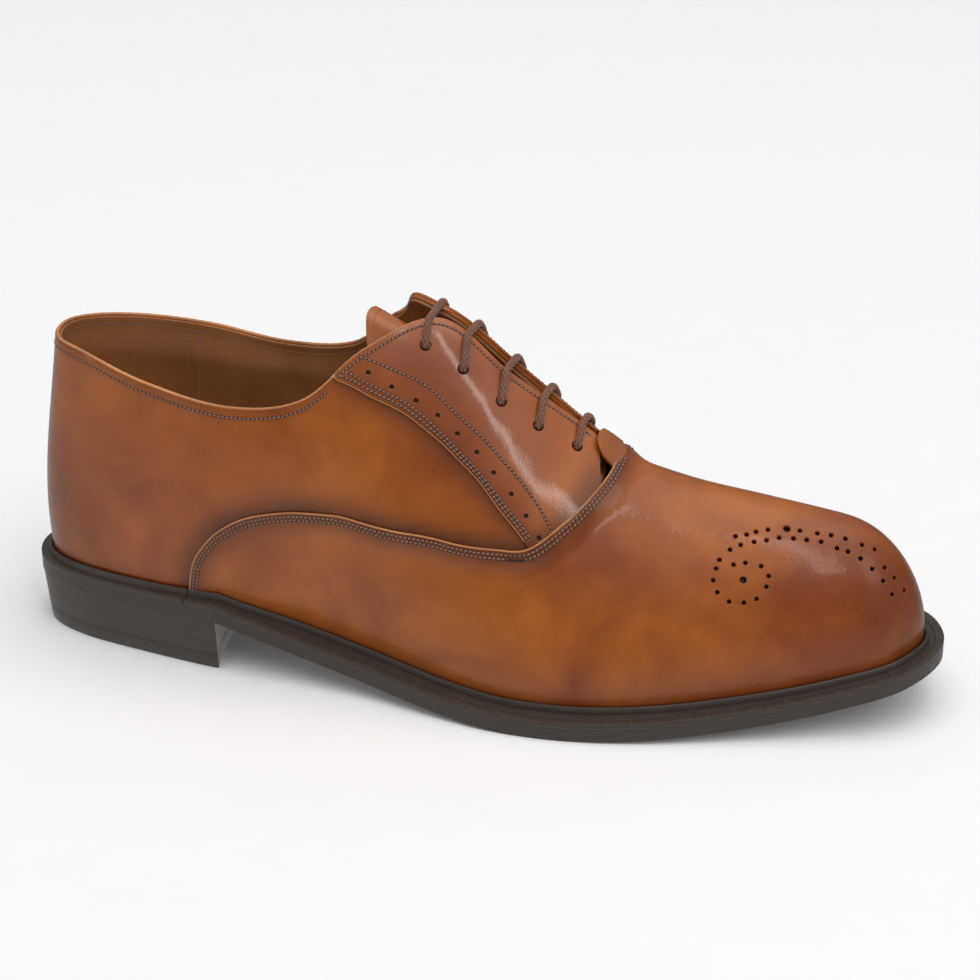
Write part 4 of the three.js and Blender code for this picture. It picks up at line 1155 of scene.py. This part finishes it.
class SHOE_OT_heel(bpy.types.Operator):
    """The stacked heel: rubber top piece and three leather lifts, inked as one block."""
    bl_idname = "shoe.heel"
    bl_label = "Heel"

    def execute(self, context):
        rubber = heel_high[2] / MM
        start = rubber + LIFT_GAP
        pitch = (HEEL_HEIGHT - start) / 3
        layers = [("heel_rubber", 0.0, rubber, "heel_top_piece", "rubber_top_piece", RUBBER_ROUND)]
        for i in range(3):
            # The lowest lift comes down to the rubber, and each lift stops a hair under the next.
            low = rubber + 0.02 if i == 0 else start + i * pitch
            layers.append((f"heel_leather_{i + 1}", low, start + (i + 1) * pitch - 0.01,
                           f"heel_lift_{i + 1}", "blacked_edge_leather", LIFT_ROUND))
        for name, low, high, stands_for, slot, rounding in layers:
            outline, above = heel_outline(low), heel_outline(high)
            nothing_selected()
            bpy.ops.mesh.primitive_circle_add(vertices=len(outline), radius=0.03, fill_type="NGON")
            slab = context.object
            slab.name = name
            flat = to_frame(np.column_stack([outline, np.full(len(outline), low)]))
            slab.data.vertices.foreach_set("co", flat.reshape(-1))
            bpy.ops.object.mode_set(mode="EDIT")
            bpy.ops.mesh.select_all(action="SELECT")
            bpy.ops.mesh.extrude_region_move(TRANSFORM_OT_translate={"value": (0, 0, (high - low) * MM)})
            bpy.ops.object.mode_set(mode="OBJECT")
            face_outwards(slab)
            points = coordinates(slab)
            raised = points[:, 2] > (low + high) / 2
            order = [int(np.argmin(np.linalg.norm(outline - p[:2], axis=1))) for p in points[raised]]
            points[raised, :2] = above[order]
            slab.data.vertices.foreach_set("co", to_frame(points).reshape(-1))
            slab.data.update()
            soften(slab, *rounding, 50)
            under = [p.normal.z < -0.9 and low == 0 for p in slab.data.polygons]
            slab.data.polygons.foreach_set("material_index", [int(u) for u in under])
            ready(slab, [finish("blacked_sole_edge"), finish("black_rubber")], "shoe", [stands_for],
                  30)
        return {"FINISHED"}


# ---- Upper ---------------------------------------------------------------------------------------
MOUTH = (-0.22, 0.02)            # depths between which a punched hole widens to its rim
FLARE = 1.6


def hole_cutter(places, radius, low, high, rim):
    """Punches joined in one mesh, each with a flared mouth; places are (station, height, depth)."""
    nothing_selected()
    bpy.ops.mesh.primitive_circle_add(vertices=14, radius=1, fill_type="NGON")
    punch = bpy.context.object
    bpy.ops.object.mode_set(mode="EDIT")
    bpy.ops.mesh.select_all(action="SELECT")
    steps = [(radius, low), (radius, MOUTH[0]), (radius + rim, MOUTH[1]), (radius + rim * FLARE, high)]
    bpy.ops.transform.resize(value=(radius, radius, 1))
    bpy.ops.transform.translate(value=(0, 0, low))
    for (before, start), (after, end) in zip(steps, steps[1:]):
        bpy.ops.mesh.extrude_region_move(TRANSFORM_OT_translate={"value": (0, 0, end - start)})
        bpy.ops.transform.resize(value=(after / before, after / before, 1))
    bpy.ops.object.mode_set(mode="OBJECT")
    face_outwards(punch)
    spots = []
    for w, v, depth in places:
        middle = skin(np.array([w]), np.array([v]), np.array([depth]))[0]
        out = last_normal(np.array([w]), np.array([v]))[0]
        along = unit(np.cross(out, [0.1, 0.9, 0.3]))
        spots.append((middle, along, out, 1.0, 1.0, 1.0))
    cutter = repeated("punches", punch, spots)
    remove(punch)
    return cutter


def both_sides(places, depth):
    """(station, height) places on the outer and the inner side, at one depth."""
    return [(at, v, depth) for w, v in places for at in (w, RING - w)]


def mirror_columns(columns):
    """(station, low, high) columns on the shoe's other side, in the order of the ring."""
    return np.column_stack([RING - columns[:, 0], columns[:, 1], columns[:, 2]])[::-1]


class SHOE_OT_vamp(bpy.types.Operator):
    """The vamp in one piece, with its raised edge over the quarters and the punched toe medallion."""
    bl_idname = "shoe.vamp"
    bl_label = "Vamp"

    def execute(self, context):
        side = np.column_stack([SEAM[:, 0], np.zeros(len(SEAM)), np.clip(SEAM[:, 1], 0.004, 1)])
        front_w = np.concatenate([np.linspace(SEAM[-1, 0], 13.0, 72)[1:],
                                  np.linspace(13.0, TOE, 26)[1:]])
        front = np.column_stack([front_w, np.zeros(len(front_w)), np.ones(len(front_w))])
        half = np.vstack([side, front])
        piece = leather("calf_vamp", np.vstack([half, mirror_columns(half[:-1])]), 64, vamp_depths)
        soften(piece, 0.2, 2, 60)
        radius = context.scene.shoe_sizes.hole / MM / 2
        plain = SPIRAL + OUTER_RUN + [p for p in INNER_RUN if p != CREST]
        small = hole_cutter(both_sides(plain, 0.0), radius * 0.92, -1.6, 0.9, 0.26)
        bore(piece, small)
        remove(small)
        large = hole_cutter(both_sides([SPIRAL_HEART, CREST], 0.0), radius * 1.45, -1.6, 0.9, 0.3)
        bore(piece, large)
        remove(large)
        burnish_and_painted_light(piece)
        ready(piece, [finish("burnished_calf"), finish("raw_calf_edge"), finish("flesh_side")], "shoe",
              ["vamp"], 32)
        return {"FINISHED"}


def sides(columns):
    """The columns for the outer and the inner piece."""
    return [("lateral", columns), ("medial", mirror_columns(columns))]


BACK_SEAM = 0.004                # half the gap of the back seam, in stations


class SHOE_OT_quarters(bpy.types.Operator):
    """The two quarters, closed at the back seam and tucked under the vamp."""
    bl_idname = "shoe.quarters"
    bl_label = "Quarters"

    def execute(self, context):
        foot = shifted(SEAM, -TUCK)
        foot = foot[(foot[:, 1] > 0) & (foot[:, 0] > foot[0, 0] - 1)]
        forward = [0]
        for i in range(1, len(foot)):
            if foot[i, 0] > foot[forward[-1], 0] + 1e-4:
                forward.append(i)
        foot = foot[forward]
        rear = np.linspace(BACK_SEAM, foot[0, 0], 76)[:-1]
        rear = np.column_stack([rear, np.zeros(len(rear)), np.ones(len(rear))])
        top = slit_top(foot[:, 0], QUARTER[0])
        good = foot[:, 1] < top - 0.03
        columns = np.vstack([rear, np.column_stack([foot[:, 0], foot[:, 1], top])[good]])
        past = under_seam(foot, TUCK, QUARTER, TUCK_SLOPE)
        sizes = context.scene.shoe_sizes
        cutter = hole_cutter(both_sides(EYELETS, 0.0), sizes.lace_hole / MM / 2, -1.8, 1.5, 0.0)
        punches = hole_cutter(both_sides(FACING_HOLES, 0.0), sizes.hole / MM / 2, -1.8, 1.5, 0.0)
        for name, part in sides(columns):
            piece = leather(f"calf_quarter_{name}", part, 60, past)
            soften(piece, 0.15, 2, 60)
            bore(piece, cutter)
            bore(piece, punches)
            burnish_and_painted_light(piece)
            ready(piece, [finish("burnished_calf"), finish("raw_calf_edge"), finish("flesh_side")], "shoe",
                  [f"quarter_{name}"], 32)
        remove(cutter)
        remove(punches)
        return {"FINISHED"}


class SHOE_OT_facings(bpy.types.Operator):
    """The glazed facings with their swan-neck edge, punched line and lace holes."""
    bl_idname = "shoe.facings"
    bl_label = "Facings"

    def execute(self, context):
        foot = shifted(SEAM, -FACING_TUCK)
        foot = foot[foot[:, 0] > SWAN[-1, 0] + 0.01]
        line = np.vstack([SWAN, foot])
        top = slit_top(line[:, 0], FACING[0])
        good = (line[:, 1] < top - 0.006) & np.r_[True, np.diff(line[:, 0]) > 1e-4]
        columns = np.column_stack([line[:, 0], line[:, 1], top])[good]
        past = under_seam(foot, FACING_TUCK, FACING, FACING_SLOPE)
        sizes = context.scene.shoe_sizes
        cutter = hole_cutter(both_sides(EYELETS, FACING[1]), sizes.lace_hole / MM / 2, -1.5, 0.8, 0.18)
        punches = hole_cutter(both_sides(FACING_HOLES, FACING[1]), sizes.hole / MM / 2, -1.5, 0.8, 0.28)
        for name, part in sides(columns):
            piece = leather(f"calf_facing_{name}", part, 44, past)
            soften(piece, 0.16, 2, 60)
            bore(piece, cutter)
            bore(piece, punches)
            burnish_and_painted_light(piece)
            ready(piece, [finish("glazed_calf"), finish("raw_calf_edge"), finish("flesh_side")], "shoe",
                  [f"facing_{name}"], 32)
        remove(cutter)
        remove(punches)
        return {"FINISHED"}


LINING_SEAM = 7.93               # the station where the quarter linings meet the vamp lining


class SHOE_OT_linings(bpy.types.Operator):
    """Quarter and vamp linings, close under the topline."""
    bl_idname = "shoe.linings"
    bl_label = "Linings"

    def execute(self, context):
        w = np.linspace(BACK_SEAM, LINING_SEAM, 150)
        columns = np.column_stack([w, np.zeros(150), slit_top(w, LINING_TOP_DEPTH) - 0.004])
        wide = context.scene.shoe_sizes.lace_hole / MM / 2 + 0.2
        cutter = hole_cutter(both_sides(EYELETS, -1.0), wide, -3.0, 2.0, 0.0)
        for name, part in sides(columns):
            piece = leather(f"lining_{name}", part, 48, lining_depths)
            soften(piece, 0.2, 2, 60)
            bore(piece, cutter)
            ready(piece, [finish("calf_lining")] * 3, "shoe", [f"quarter_lining_{name}"])
        w = np.concatenate([np.linspace(LINING_SEAM + 0.01, 9.07, 30), np.linspace(9.07, TOE, 70)[1:]])
        half = np.column_stack([w, np.zeros(len(w)), slit_top(w, LINING_TOP_DEPTH)])
        half[w > THROAT + 0.06, 2] = 1.0
        piece = leather("lining_vamp", np.vstack([half, mirror_columns(half[:-1])]), 40, lining_depths)
        bore(piece, cutter)
        ready(piece, [finish("calf_lining")] * 3, "shoe", ["vamp_lining"])
        remove(cutter)
        return {"FINISHED"}


BACKSTAY_HALF = 0.2              # half its width, in stations
BACKSTAY_SPAN = (0.04, 0.992)
BACKSTAY_DEPTHS = (0.06, 0.75)


class SHOE_OT_backstay(bpy.types.Operator):
    """The narrow dark strip over the back seam."""
    bl_idname = "shoe.backstay"
    bl_label = "Backstay"

    def execute(self, context):
        w = np.linspace(-BACKSTAY_HALF, BACKSTAY_HALF, 18)
        columns = np.column_stack([w, *(np.full(18, end) for end in BACKSTAY_SPAN)])

        def depths(w, v):
            inner, outer = BACKSTAY_DEPTHS
            return np.full(w.shape, inner), outer * (1 - 0.5 * np.abs(w / BACKSTAY_HALF) ** 4)
        piece = leather("backstay_strip", columns, 70, depths)
        soften(piece, 0.15, 2, 50)
        ready(piece, [finish("browned_calf")] * 3, "shoe", ["backstay"])
        return {"FINISHED"}


BEAD_END = 7.05                  # the bead runs on this far along the facings


class SHOE_OT_topline(bpy.types.Operator):
    """The rolled edge round the mouth of the shoe."""
    bl_idname = "shoe.topline"
    bl_label = "Topline bead"

    def execute(self, context):
        w = np.linspace(-BEAD_END, BEAD_END, 900)
        k = np.abs(w)
        depth = -0.75 + 0.55 * smooth((k - 5.4) / 0.3)
        line = skin(w, 1.0, depth) + [0, 0, 0.05]
        line = resample(line, 700)
        radius = context.scene.shoe_sizes.bead / MM / 2

        def roll(place, angle):
            total = place.max()
            ends = smooth(np.minimum(place, total - place) / 3)
            size = radius * (0.35 + 0.65 * ends)
            return size + 0.03 * np.sin(place * 2.1) + 0 * angle, 0.5 + 0 * place + 0 * angle
        piece = tube("topline_bead", line, roll, 12)
        ready(piece, [finish("raw_calf_edge")], "shoe", ["topline_binding"], 60)
        return {"FINISHED"}


# ---- Tongue and tab ------------------------------------------------------------------------------
TONGUE_START = 8.98
TONGUE_TURN = 6.95
TONGUE_LOW = 0.66
TIP_WIDE = 0.98
TIP_SKEW = 0.24                  # the tip reaches this much further on the outer side
TIP_LENGTH = 23.0
TIP_ROUND = 3.6                  # the power of its end curve: higher is squarer
TONGUE_TOP = -8.7                # depth of its outer face under the upper's
TONGUE_SINK = 5.6                # how much shallower it is where it is sewn in at the throat
TONGUE_THICK = 1.0
ARCH_STEPS = 201
CENTRE = ARCH_STEPS // 2
TIP_WAY = np.array([-0.9, 0, 0.43]) / math.hypot(0.9, 0.43)


def arch(w, depth):
    """The tongue's cross line at a station, from low on the outer side, over the top, to the inner."""
    depth = depth + TONGUE_SINK * smooth((w - 8.72) / 0.2)
    v = np.array([TONGUE_LOW, 0.74, 0.82, 0.9, 0.95])
    outer = skin(np.full(len(v), w), v, np.full(len(v), depth))
    inner = skin(np.full(len(v), RING - w), v, np.full(len(v), depth))
    outer = outer[outer[:, 1] < -2.5]
    inner = inner[inner[:, 1] > 2.5]
    return curve(np.vstack([outer, inner[::-1]]), ARCH_STEPS)


def tongue_grid(depth, trim):
    """Cross lines from the throat to the rounded tip, each from the inner side to the outer."""
    def cropped(line, wide, beyond):
        wide = max(wide - trim / 30, 0.02)
        at = np.linspace(CENTRE - CENTRE * wide, CENTRE + CENTRE * wide, 37)
        part = at_run(line, np.arange(ARCH_STEPS), at)
        along = beyond * (1 + TIP_SKEW * (1 - at / CENTRE))
        return (part + TIP_WAY * along[:, None])[::-1]
    lines = []
    for w in np.linspace(TONGUE_START - trim / 20, TONGUE_TURN, 60):
        upwards = (TONGUE_START - w) / (TONGUE_START - TONGUE_TURN)
        lines.append(cropped(arch(w, depth), 1 - (1 - TIP_WIDE) * upwards ** 2, 0))
    last = arch(TONGUE_TURN, depth)
    for part in np.sin(np.linspace(0, math.pi / 2, 30))[1:]:
        wide = TIP_WIDE * (1 - part ** TIP_ROUND) ** 0.5 if part < 0.9999 else 0.0
        lines.append(cropped(last, wide, part * (TIP_LENGTH - trim)))
    return np.array(lines)


class SHOE_OT_tongue(bpy.types.Operator):
    """The tongue and its lining, with a rounded tip above the facings."""
    bl_idname = "shoe.tongue"
    bl_label = "Tongue"

    def execute(self, context):
        under = TONGUE_TOP - TONGUE_THICK
        face = grid_piece("calf_tongue", tongue_grid(TONGUE_TOP, 0), tongue_grid(under, 0))
        soften(face, 0.2, 2, 60)
        # Painted shade on the tongue's part under the lace.
        burnish_and_painted_light(face, 1.3)
        ready(face, [finish("glazed_calf"), finish("raw_calf_edge"), finish("flesh_side")], "tongue",
              ["tongue"])
        back = grid_piece("tongue_back", tongue_grid(under - 0.05, 0.6), tongue_grid(under - 0.9, 0.6))
        soften(back, 0.2, 2, 60)
        ready(back, [finish("calf_lining")] * 3, "tongue", ["tongue_lining"])
        return {"FINISHED"}


TAB_HALF = 6.2                   # half its width along the seam
TAB_OFFSET = 3.0                 # how far it sits towards the outer side
TAB_LENGTH = 8.2
TAB_THICK = 1.0
TAB_WAY = np.array([-0.83, 0, 0.56])


class SHOE_OT_tab(bpy.types.Operator):
    """The half-round tab that covers the end of the slit, tucked under the vamp."""
    bl_idname = "shoe.tab"
    bl_label = "Throat tab"

    def execute(self, context):
        # The seam's two halves laid end to end, with the throat at run[-1].
        run = run_of(SEAM_POINTS[0])
        other = run[-1] + run[-1] - run[::-1] + 1e-6
        far_side = SEAM[::-1]
        across = np.linspace(-1, 1, 40)
        at = run[-1] - TAB_OFFSET + across * TAB_HALF
        v = np.interp(at, np.r_[run, other], np.r_[SEAM[:, 1], far_side[:, 1]])
        w = np.where(at > run[-1], np.interp(at, other, RING - far_side[:, 0]),
                     np.interp(at, run, SEAM[:, 0]))
        way = unit(TAB_WAY)
        base = last_point(w, v)
        out = unit(last_normal(w, v) + [0, 0, 0.6])
        long = TAB_LENGTH * np.sqrt(np.maximum(1 - across ** 2, 0.004))
        share = np.linspace(-0.25, 1, 26)
        reach = share[None] * long[:, None]
        lift = 1.15 + 0.5 * smooth(share)[None] - 0.35 * np.abs(across[:, None]) ** 3

        def layer(height):
            return base[:, None] + way * reach[..., None] + out[:, None] * (lift + height)[..., None]
        piece = grid_piece("throat_tab_leather", layer(TAB_THICK)[:, ::-1], layer(0.0)[:, ::-1])
        face_outwards(piece)
        soften(piece, 0.28, 3, 50)
        write_attribute(piece, "polish_and_painted_light", np.zeros((len(piece.data.vertices), 3)) + [0.25, 0, 0.3])
        ready(piece, [finish("glazed_calf"), finish("glazed_calf"), finish("flesh_side")], "shoe",
              ["throat_tab"])
        return {"FINISHED"}


# ---- Stitching -----------------------------------------------------------------------------------
STITCH_LEAN = 0.18
BAND_SHARES = [(1.0, 0.0), (0.7, 1.0), (-0.7, 1.0), (-1.0, 0.0)]     # a flat band's half width and rise
BAND_FOOT = (0.8, 0.15)
BAND_STEPS = 420


def stitch_places(line, depth, pitch, thread, lean=0.0):
    """Stitches along a (station, height) line, each sunk a little in the leather."""
    fine = resample(line, 1500, last_point(*line.T))
    depth = np.broadcast_to(np.asarray(depth, float), (len(line),))
    deep = np.interp(np.linspace(0, 1, 1500), np.linspace(0, 1, len(line)), depth)
    track = skin(fine[:, 0], fine[:, 1], deep)
    run = run_of(track)
    count = max(int(run[-1] / pitch), 1)
    at = (np.arange(count) + 0.5) * run[-1] / count
    middle = at_run(track, run, at)
    along = unit(at_run(track, run, at + 0.2) - at_run(track, run, at - 0.2))
    w, v = np.interp(at, run, fine[:, 0]), np.interp(at, run, fine[:, 1])
    out = last_normal(w, v)
    along = unit(along + np.cross(out, along) * lean)
    return [(m + o * thread * 0.12, a, o, pitch * 0.42, thread * 0.5, thread * 0.42)
            for m, a, o in zip(middle, along, out)]


def thread_template():
    """One stitch: a short rounded length of thread, as a unit shape along X."""
    nothing_selected()
    bpy.ops.mesh.primitive_uv_sphere_add(segments=6, ring_count=5, radius=1,
                                         rotation=(0, math.pi / 2, 0))
    bpy.ops.object.transform_apply(location=True, rotation=True, scale=True)
    return bpy.context.object


def raised_at(line, distance):
    """How far the vamp stands over the quarter at rows this far from its edge."""
    return edge_rise(line[:, 0]) * (1 - smooth(distance / SEAM_FADE))


def sew(name, rows, material, pitch, thread):
    """One piece from all the stitches of some (line, depth) rows."""
    template = thread_template()
    places = [place for row in rows for place in stitch_places(*row, pitch, thread, STITCH_LEAN)]
    piece = repeated(name, template, places)
    remove(template)
    write_attribute(piece, "strand_shade", np.full((len(piece.data.vertices), 3), 0.6))
    ready(piece, [finish(material)], "shoe", (), 60)
    return piece


def strip(name, rows, half, thick, material):
    """Thin flat bands along (station, height) lines; rows are (line, depth)."""
    points, faces = [], []
    for line, depth in rows:
        deep = np.broadcast_to(np.asarray(depth, float), (len(line),))
        fine = resample(np.column_stack([line, deep]), BAND_STEPS, last_point(line[:, 0], line[:, 1]))
        track = skin(fine[:, 0], fine[:, 1], fine[:, 2])
        out = last_normal(fine[:, 0], fine[:, 1])
        across = unit(np.cross(out, unit(np.gradient(track, axis=0))))
        start = sum(len(p) for p in points)
        ring = [track + across * half * aside + out * thick * rise for aside, rise in BAND_SHARES]
        ring += [track + across * half * BAND_FOOT[0] * side - out * BAND_FOOT[1] for side in (-1, 1)]
        n = len(ring)
        points.append(np.stack(ring, 1).reshape(-1, 3))
        faces += [[start + i * n + j, start + (i + 1) * n + j,
                   start + (i + 1) * n + (j + 1) % n, start + i * n + (j + 1) % n]
                  for i in range(BAND_STEPS - 1) for j in range(n)]
        faces += [[start + j for j in range(n)], [start + (BAND_STEPS - 1) * n + j for j in range(n)][::-1]]
    piece = mesh_piece(name, np.vstack(points), faces)
    face_outwards(piece)
    return ready(piece, [finish(material)], "shoe", (), 60)


TOPLINE_ROW = 2.8                # this row's distance under the topline
LACING_ROW = 2.1                 # and from the lacing edge


class SHOE_OT_stitching(bpy.types.Operator):
    """Every row of stitches on the upper."""
    bl_idname = "shoe.stitching"
    bl_label = "Upper stitching"

    def execute(self, context):
        sizes = context.scene.shoe_sizes
        pitch, thread = sizes.stitch_pitch / MM, sizes.thread / MM
        first, second = sizes.row_first / MM, sizes.row_second / MM
        seam = SEAM[SEAM[:, 1] > 0.01]
        rows = []
        for distance in (first, second):
            line = shifted(seam, -distance)
            line = line[(line[:, 1] > 0.012) & (line[:, 1] < 0.95)]
            rows += [(side, raised_at(side, distance)) for side in (line, mirror_line(line))]
        sew("vamp_seam_stitches", rows, "waxed_thread", pitch, thread)
        # Painted shade along the seam rows: dark bands under the stitches.
        strip("vamp_seam_groove_shade", rows, 0.42, 0.05, "stitch_groove_shade")
        lip = seam[seam[:, 1] < 0.93]
        edges = [(side, raised_at(side, 0.0) - 0.3) for side in (lip, mirror_line(lip))]
        strip("vamp_skived_edge", edges, 0.3, 0.3, "raw_calf_edge")
        rows = []
        swan = SWAN[:118]
        for distance in (first, second):
            line = shifted(swan, distance)
            line = line[(line[:, 1] < 0.975)]
            rows += [(side, FACING[1]) for side in (line, mirror_line(line))]
        inner = on_last(INNER_ROW, 90)
        rows += [(side, FACING[1]) for side in (inner, mirror_line(inner))]
        sew("facing_seam_stitches", rows, "waxed_thread", pitch, thread)
        # Painted shade along the facing rows: dark bands under the stitches.
        strip("facing_seam_groove_shade", rows, 0.4, 0.05, "stitch_groove_shade")
        edges = [(side, FACING[1] - 0.3) for side in (swan, mirror_line(swan))]
        strip("facing_skived_edge", edges, 0.26, 0.28, "raw_calf_edge")
        back = np.column_stack([np.linspace(0.24, 5.42, 200), np.ones(200)])
        back = shifted(back, -TOPLINE_ROW)
        rows = [(side, 0.0) for side in (back, mirror_line(back))]
        w = np.linspace(5.62, 8.74, 260)
        front = np.column_stack([w, slit_top(w, FACING[0])])
        front = shifted(front, -LACING_ROW)
        rows += [(side, FACING[1]) for side in (front, mirror_line(front))]
        sew("topline_stitches", rows, "waxed_thread", pitch, thread * 0.95)
        # Painted shade along the topline and lacing rows: dark bands under the stitches.
        strip("topline_groove_shade", rows, 0.38, 0.05, "stitch_groove_shade")
        return {"FINISHED"}


LINING_SEAM_ROWS = (2.72, (-0.075, 0.075))          # its station, and the two rows beside it
TONGUE_ROW = 2.4                 # how far in from the tongue's edge its row is


class SHOE_OT_lining_stitching(bpy.types.Operator):
    """The double row down the inner lining's seam, the row under its topline and the tongue's row."""
    bl_idname = "shoe.lining_stitching"
    bl_label = "Lining stitching"

    def execute(self, context):
        sizes = context.scene.shoe_sizes
        pitch, thread = sizes.stitch_pitch / MM * 1.15, sizes.thread / MM * 0.8
        rows = []
        for side in (1, -1):
            for gap in LINING_SEAM_ROWS[1]:
                v = np.linspace(0.15, 0.97, 60)
                w = LINING_SEAM_ROWS[0] + gap + 0.1 * (1 - v)
                w = w if side > 0 else RING - w
                depth = lining_depths(w, v)[0] - 0.02
                rows.append((np.column_stack([w, v]), depth))
        w = np.linspace(0.05, 5.5, 200)
        line = shifted(np.column_stack([w, np.ones(200)]), -TOPLINE_ROW)
        for side in (line, mirror_line(line)):
            rows.append((side, lining_depths(side[:, 0], side[:, 1])[0] - 0.02))
        sew("lining_stitches", rows, "waxed_thread", pitch, thread)
        grid = tongue_grid(TONGUE_TOP, TONGUE_ROW)
        border = np.vstack([grid[:, 0], grid[-1][1:-1], grid[::-1, -1]])
        border = resample(border, 1500)
        run = run_of(border)
        at = np.arange(0.5, run[-1] / pitch - 0.5) * pitch
        middle = at_run(border, run, at)
        along = unit(np.gradient(middle, axis=0))
        up = unit(np.array([0.43, 0, 0.9]) + np.stack([0 * at, middle[:, 1] * 0.05, 0 * at], -1))
        up = unit(up - along * np.sum(up * along, axis=1, keepdims=True))
        template = thread_template()
        places = [(m + u * 0.05, a, u, pitch * 0.43, thread * 0.5, thread * 0.5)
                  for m, a, u in zip(middle, along, up)]
        piece = repeated("tongue_stitches", template, places)
        remove(template)
        write_attribute(piece, "strand_shade", np.full((len(piece.data.vertices), 3), 0.6))
        ready(piece, [finish("waxed_thread")], "tongue", (), 60)
        return {"FINISHED"}


WELT_ROW = 2.6                   # the row's distance from the sole's edge
WELT_PITCH = 2.6
WELT_STITCH = (1.12, 0.36, 0.3)  # half a stitch's length, width and height


class SHOE_OT_welt_stitching(bpy.types.Operator):
    """The black stitches that hold the welt to the sole."""
    bl_idname = "shoe.welt_stitching"
    bl_label = "Welt stitching"

    def execute(self, context):
        w = np.linspace(WELT_JOINT + 0.05, RING - WELT_JOINT - 0.05, 3000)
        x, y, _, _, _ = edge_at(w, WELT_ROW)
        track = np.stack([x, y, sole_height(x) + WELT_TOP + 0.03], -1)
        run = run_of(track)
        at = np.arange(0.5, run[-1] / WELT_PITCH) * WELT_PITCH
        along = unit(at_run(track, run, at + 0.3) - at_run(track, run, at - 0.3))
        up = unit(np.array([0, 0, 1.0]) - along * along[:, 2:3])
        template = thread_template()
        piece = repeated("welt_stitches", template,
                         [(m, a, u, *WELT_STITCH) for m, a, u in zip(at_run(track, run, at), along, up)])
        remove(template)
        write_attribute(piece, "strand_shade", np.full((len(piece.data.vertices), 3), 0.5))
        ready(piece, [finish("black_thread")], "shoe", (), 60)
        return {"FINISHED"}


# ---- What lies inside ----------------------------------------------------------------------------
HIDDEN_FINISH = {
    "shank": "spring_steel", "cork_filler": "pressed_cork", "insole": "insole_bend",
    "toe_puff": "dark_stiffener", "heel_counter": "dark_stiffener"}


class SHOE_OT_inside(bpy.types.Operator):
    """Finishes for the frame's own pieces that stay: shank, cork, insole, stiffeners, eyelets, nails."""
    bl_idname = "shoe.inside"
    bl_label = "Inner pieces"

    def execute(self, context):
        finishes = dict(HIDDEN_FINISH)
        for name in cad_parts:
            if name.startswith("eyelet_"):
                finishes[name] = "browned_brass"
            if name.startswith("heel_nail_"):
                finishes[name] = "bright_nail"
        for name, kind in finishes.items():
            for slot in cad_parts[name].material_slots:
                slot.material = finish(kind)
        return {"FINISHED"}


PIECES = [SHOE_OT_stage, SHOE_OT_lace, SHOE_OT_sole, SHOE_OT_heel, SHOE_OT_vamp, SHOE_OT_quarters,
          SHOE_OT_facings, SHOE_OT_linings, SHOE_OT_backstay, SHOE_OT_topline, SHOE_OT_tongue,
          SHOE_OT_tab, SHOE_OT_stitching, SHOE_OT_lining_stitching, SHOE_OT_welt_stitching,
          SHOE_OT_inside]


class SHOE_PT_panel(bpy.types.Panel):
    """Lists the shoe's sizes, colours and pieces."""
    bl_idname = "SHOE_PT_panel"
    bl_label = "Leather Oxford"
    bl_space_type = "VIEW_3D"
    bl_region_type = "UI"
    bl_category = "Shoe"

    def draw(self, context):
        for group in (context.scene.shoe_sizes, context.scene.shoe_colours):
            box = self.layout.box()
            for name in group.__annotations__:
                box.prop(group, name)
        for piece in PIECES:
            self.layout.operator(piece.bl_idname)


CLASSES = [ShoeSizes, ShoeColours, *PIECES, SHOE_PT_panel]


def register():
    for item in CLASSES:
        bpy.utils.register_class(item)
    bpy.types.Scene.shoe_sizes = bpy.props.PointerProperty(type=ShoeSizes)
    bpy.types.Scene.shoe_colours = bpy.props.PointerProperty(type=ShoeColours)


def unregister():
    del bpy.types.Scene.shoe_colours
    del bpy.types.Scene.shoe_sizes
    for item in reversed(CLASSES):
        bpy.utils.unregister_class(item)


def main():
    """Registers the add-on, then makes every piece."""
    register()
    for piece in PIECES:
        group, name = piece.bl_idname.split(".")
        getattr(getattr(bpy.ops, group), name)()


if __name__ == "__main__":
    main()
